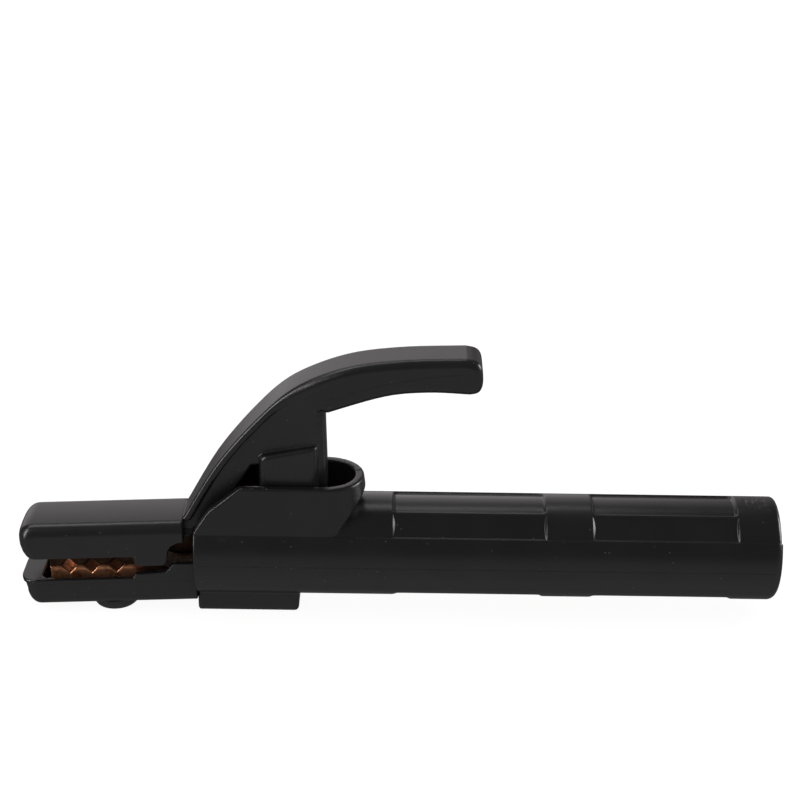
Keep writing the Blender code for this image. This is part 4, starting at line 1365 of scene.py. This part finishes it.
@dataclass
class LeverSpring:
    """The compression spring with its seat on the casting and its cap under the lever."""

    low_z: float = 10.7
    high_z: float = 26.9
    coil_r: float = 4.0
    wire_r: float = 0.7
    turns: float = 6.5
    squeezed: float = 0.44

    def coil(self) -> Skin:
        """The spring wire, with its end turns closed."""
        share = np.linspace(0.0, 1.0, int(self.turns * 36))
        dead = 1.0 / self.turns
        close = 2.1 * self.wire_r
        span = self.high_z - self.low_z
        knots = [0.0, dead, 1.0 - dead, 1.0]
        heights = [0.0, close, span - close, span]
        z = self.low_z + np.interp(share, knots, heights)
        angle = TAU * self.turns * share
        path = np.stack([SPRING_X + self.coil_r * np.cos(angle), self.coil_r * np.sin(angle), z], 1)
        return tube_along(path, self.wire_r, 12)

    def build(self) -> None:
        """Makes the spring, its seat and its cap."""
        centre = (SPRING_X, 0.0, 0.0)
        coil = add_piece("spring_coil", self.coil(), SPRING_WIRE, Body.GRIP, "lever_spring")
        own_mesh(coil)
        seat = [(8.9, 2.2), (8.9, 6.2), (9.8, 6.2), (9.8, 3.1), (11.9, 2.8), (11.9, 2.2), (8.9, 2.2)]
        skin = turned(eased_profile(seat, 0.15, 2), Axis.Z, centre)
        add_piece("spring_seat_cup", skin, ZINC, Body.GRIP, "spring_seat")
        cap = [(28.6, 2.2), (28.6, 6.0), (27.7, 6.0), (27.7, 3.1), (25.6, 2.8), (25.6, 2.2), (28.6, 2.2)]
        skin = turned(eased_profile(cap, 0.15, 2), Axis.Z, centre)
        add_piece("spring_fibre_cap", skin, RED_FIBRE, Body.LEVER, "spring_insulator")


# ---- studio
@dataclass
class Studio:
    """The pale floor, the soft light and the camera, in metres."""

    camera_place: tuple[float, float, float] = (0.00025, -0.4817, 0.2898)
    pitch_deg: float = 65.3
    roll_deg: float = 0.8
    lens: float = 82.0
    sky: float = 1.15
    floor_reach: float = 6.0

    @staticmethod
    def sheet(name: str, half: Point2, material: bpy.types.Material) -> bpy.types.Object:
        """Makes a flat rectangle, from its half length and half width in metres."""
        mesh = bpy.data.meshes.new(name)
        a, b = half
        mesh.from_pydata([(-a, -b, 0), (a, -b, 0), (a, b, 0), (-a, b, 0)], [], [(0, 1, 2, 3)])
        made = bpy.data.objects.new(name, mesh)
        bpy.context.scene.collection.objects.link(made)
        mesh.materials.append(material)
        return made

    def card(self, name: str, centre: Sequence[float], size: Point2, glow: float) -> None:
        """Hangs a card that shows only as a reflection, facing the holder."""
        shade = bpy.data.materials.new(name)
        shade.use_nodes = True
        shade.node_tree.nodes.clear()
        graph = Graph(shade.node_tree)
        light = graph.node("ShaderNodeEmission", None, {"Color": colour(1, 1, 1), "Strength": glow})
        graph.node("ShaderNodeOutputMaterial", None, {"Surface": light.outputs[0]})
        made = self.sheet(name, (size[0] / 2, size[1] / 2), shade)
        made.location = centre
        aim = Vector((0.0, 0.0, 0.03)) - Vector(centre)
        made.rotation_euler = aim.to_track_quat("-Z", "Y").to_euler()
        made.visible_camera = made.visible_diffuse = made.visible_shadow = False

    def world(self) -> None:
        """A white tent overhead and behind, and a dark room in front, for soft reflections."""
        world = bpy.data.worlds.new("studio_tent")
        bpy.context.scene.world = world
        world.use_nodes = True
        world.node_tree.nodes.clear()
        graph = Graph(world.node_tree)
        way = graph.node("ShaderNodeTexCoord").outputs["Generated"]
        parts = graph.node("ShaderNodeSeparateXYZ", None, {0: way})
        right, back, up = (Value(graph, socket) for socket in parts.outputs)
        rear = back.ramp(0.6, 0.84) * up.ramp(-0.22, -0.02) * (1.0 - right.ramp(0.05, 0.18) * 0.8)
        front_low = up.ramp(0.12, -0.3) * (1.0 - back.ramp(-0.5, 0.3) * 0.8)
        seen = 0.09 + rear * 0.78 + front_low * 0.24
        path = graph.node("ShaderNodeLightPath")
        glossy = Value(graph, path.outputs["Is Glossy Ray"])
        strength = seen * glossy + self.sky * (1.0 - glossy)
        cool = up.ramp(-0.25, 0.3) * back.ramp(0.4, -0.1) * glossy
        tint = graph.mix(cool, colour(1.03, 0.985, 0.985), colour(0.97, 1.0, 1.1))
        sky = graph.node("ShaderNodeBackground", None, {"Color": tint, "Strength": strength})
        graph.node("ShaderNodeOutputWorld", None, {"Surface": sky.outputs[0]})

    def camera(self) -> None:
        """Sets the camera."""
        data = bpy.data.cameras.new("studio_camera")
        made = bpy.data.objects.new("studio_camera", data)
        bpy.context.scene.collection.objects.link(made)
        data.lens = self.lens
        data.sensor_width = 36.0
        data.clip_start = 0.01
        made.location = self.camera_place
        tilt = Matrix.Rotation(math.radians(self.pitch_deg), 4, "X")
        roll = Matrix.Rotation(math.radians(self.roll_deg), 4, "Z")
        made.rotation_euler = (tilt @ roll).to_euler()
        bpy.context.scene.camera = made

    def build(self) -> None:
        """Sets up the studio."""
        floor = self.sheet("studio_floor", (self.floor_reach, self.floor_reach), PAPER.material())
        floor.visible_glossy = False
        self.world()
        self.card("card_right", (0.93, 0.23, 0.28), (0.4, 0.5), 9.0)
        self.card("card_left", (-0.87, -0.34, 0.42), (0.24, 0.95), 9.5)
        self.card("card_top", (-0.26, 0.38, 1.15), (1.08, 0.17), 3.2)
        self.card("card_top_left", (-0.52, 0.37, 1.1), (0.56, 0.16), 3.6)
        self.camera()
        view = bpy.context.scene.view_settings
        view.view_transform = "Standard"
        view.look = "None"
        view.exposure = 0.0


def main() -> None:
    """Builds every sub-assembly, then the studio."""
    logging.basicConfig(level=logging.INFO, format="%(message)s")
    for kind in (GripMoulding, Lever, JawCovers, Tongs, Fasteners, CableClamp, LeverSpring, Studio):
        LOG.info("building %s", kind.__name__)
        kind().build()


if __name__ == "__main__":
    main()
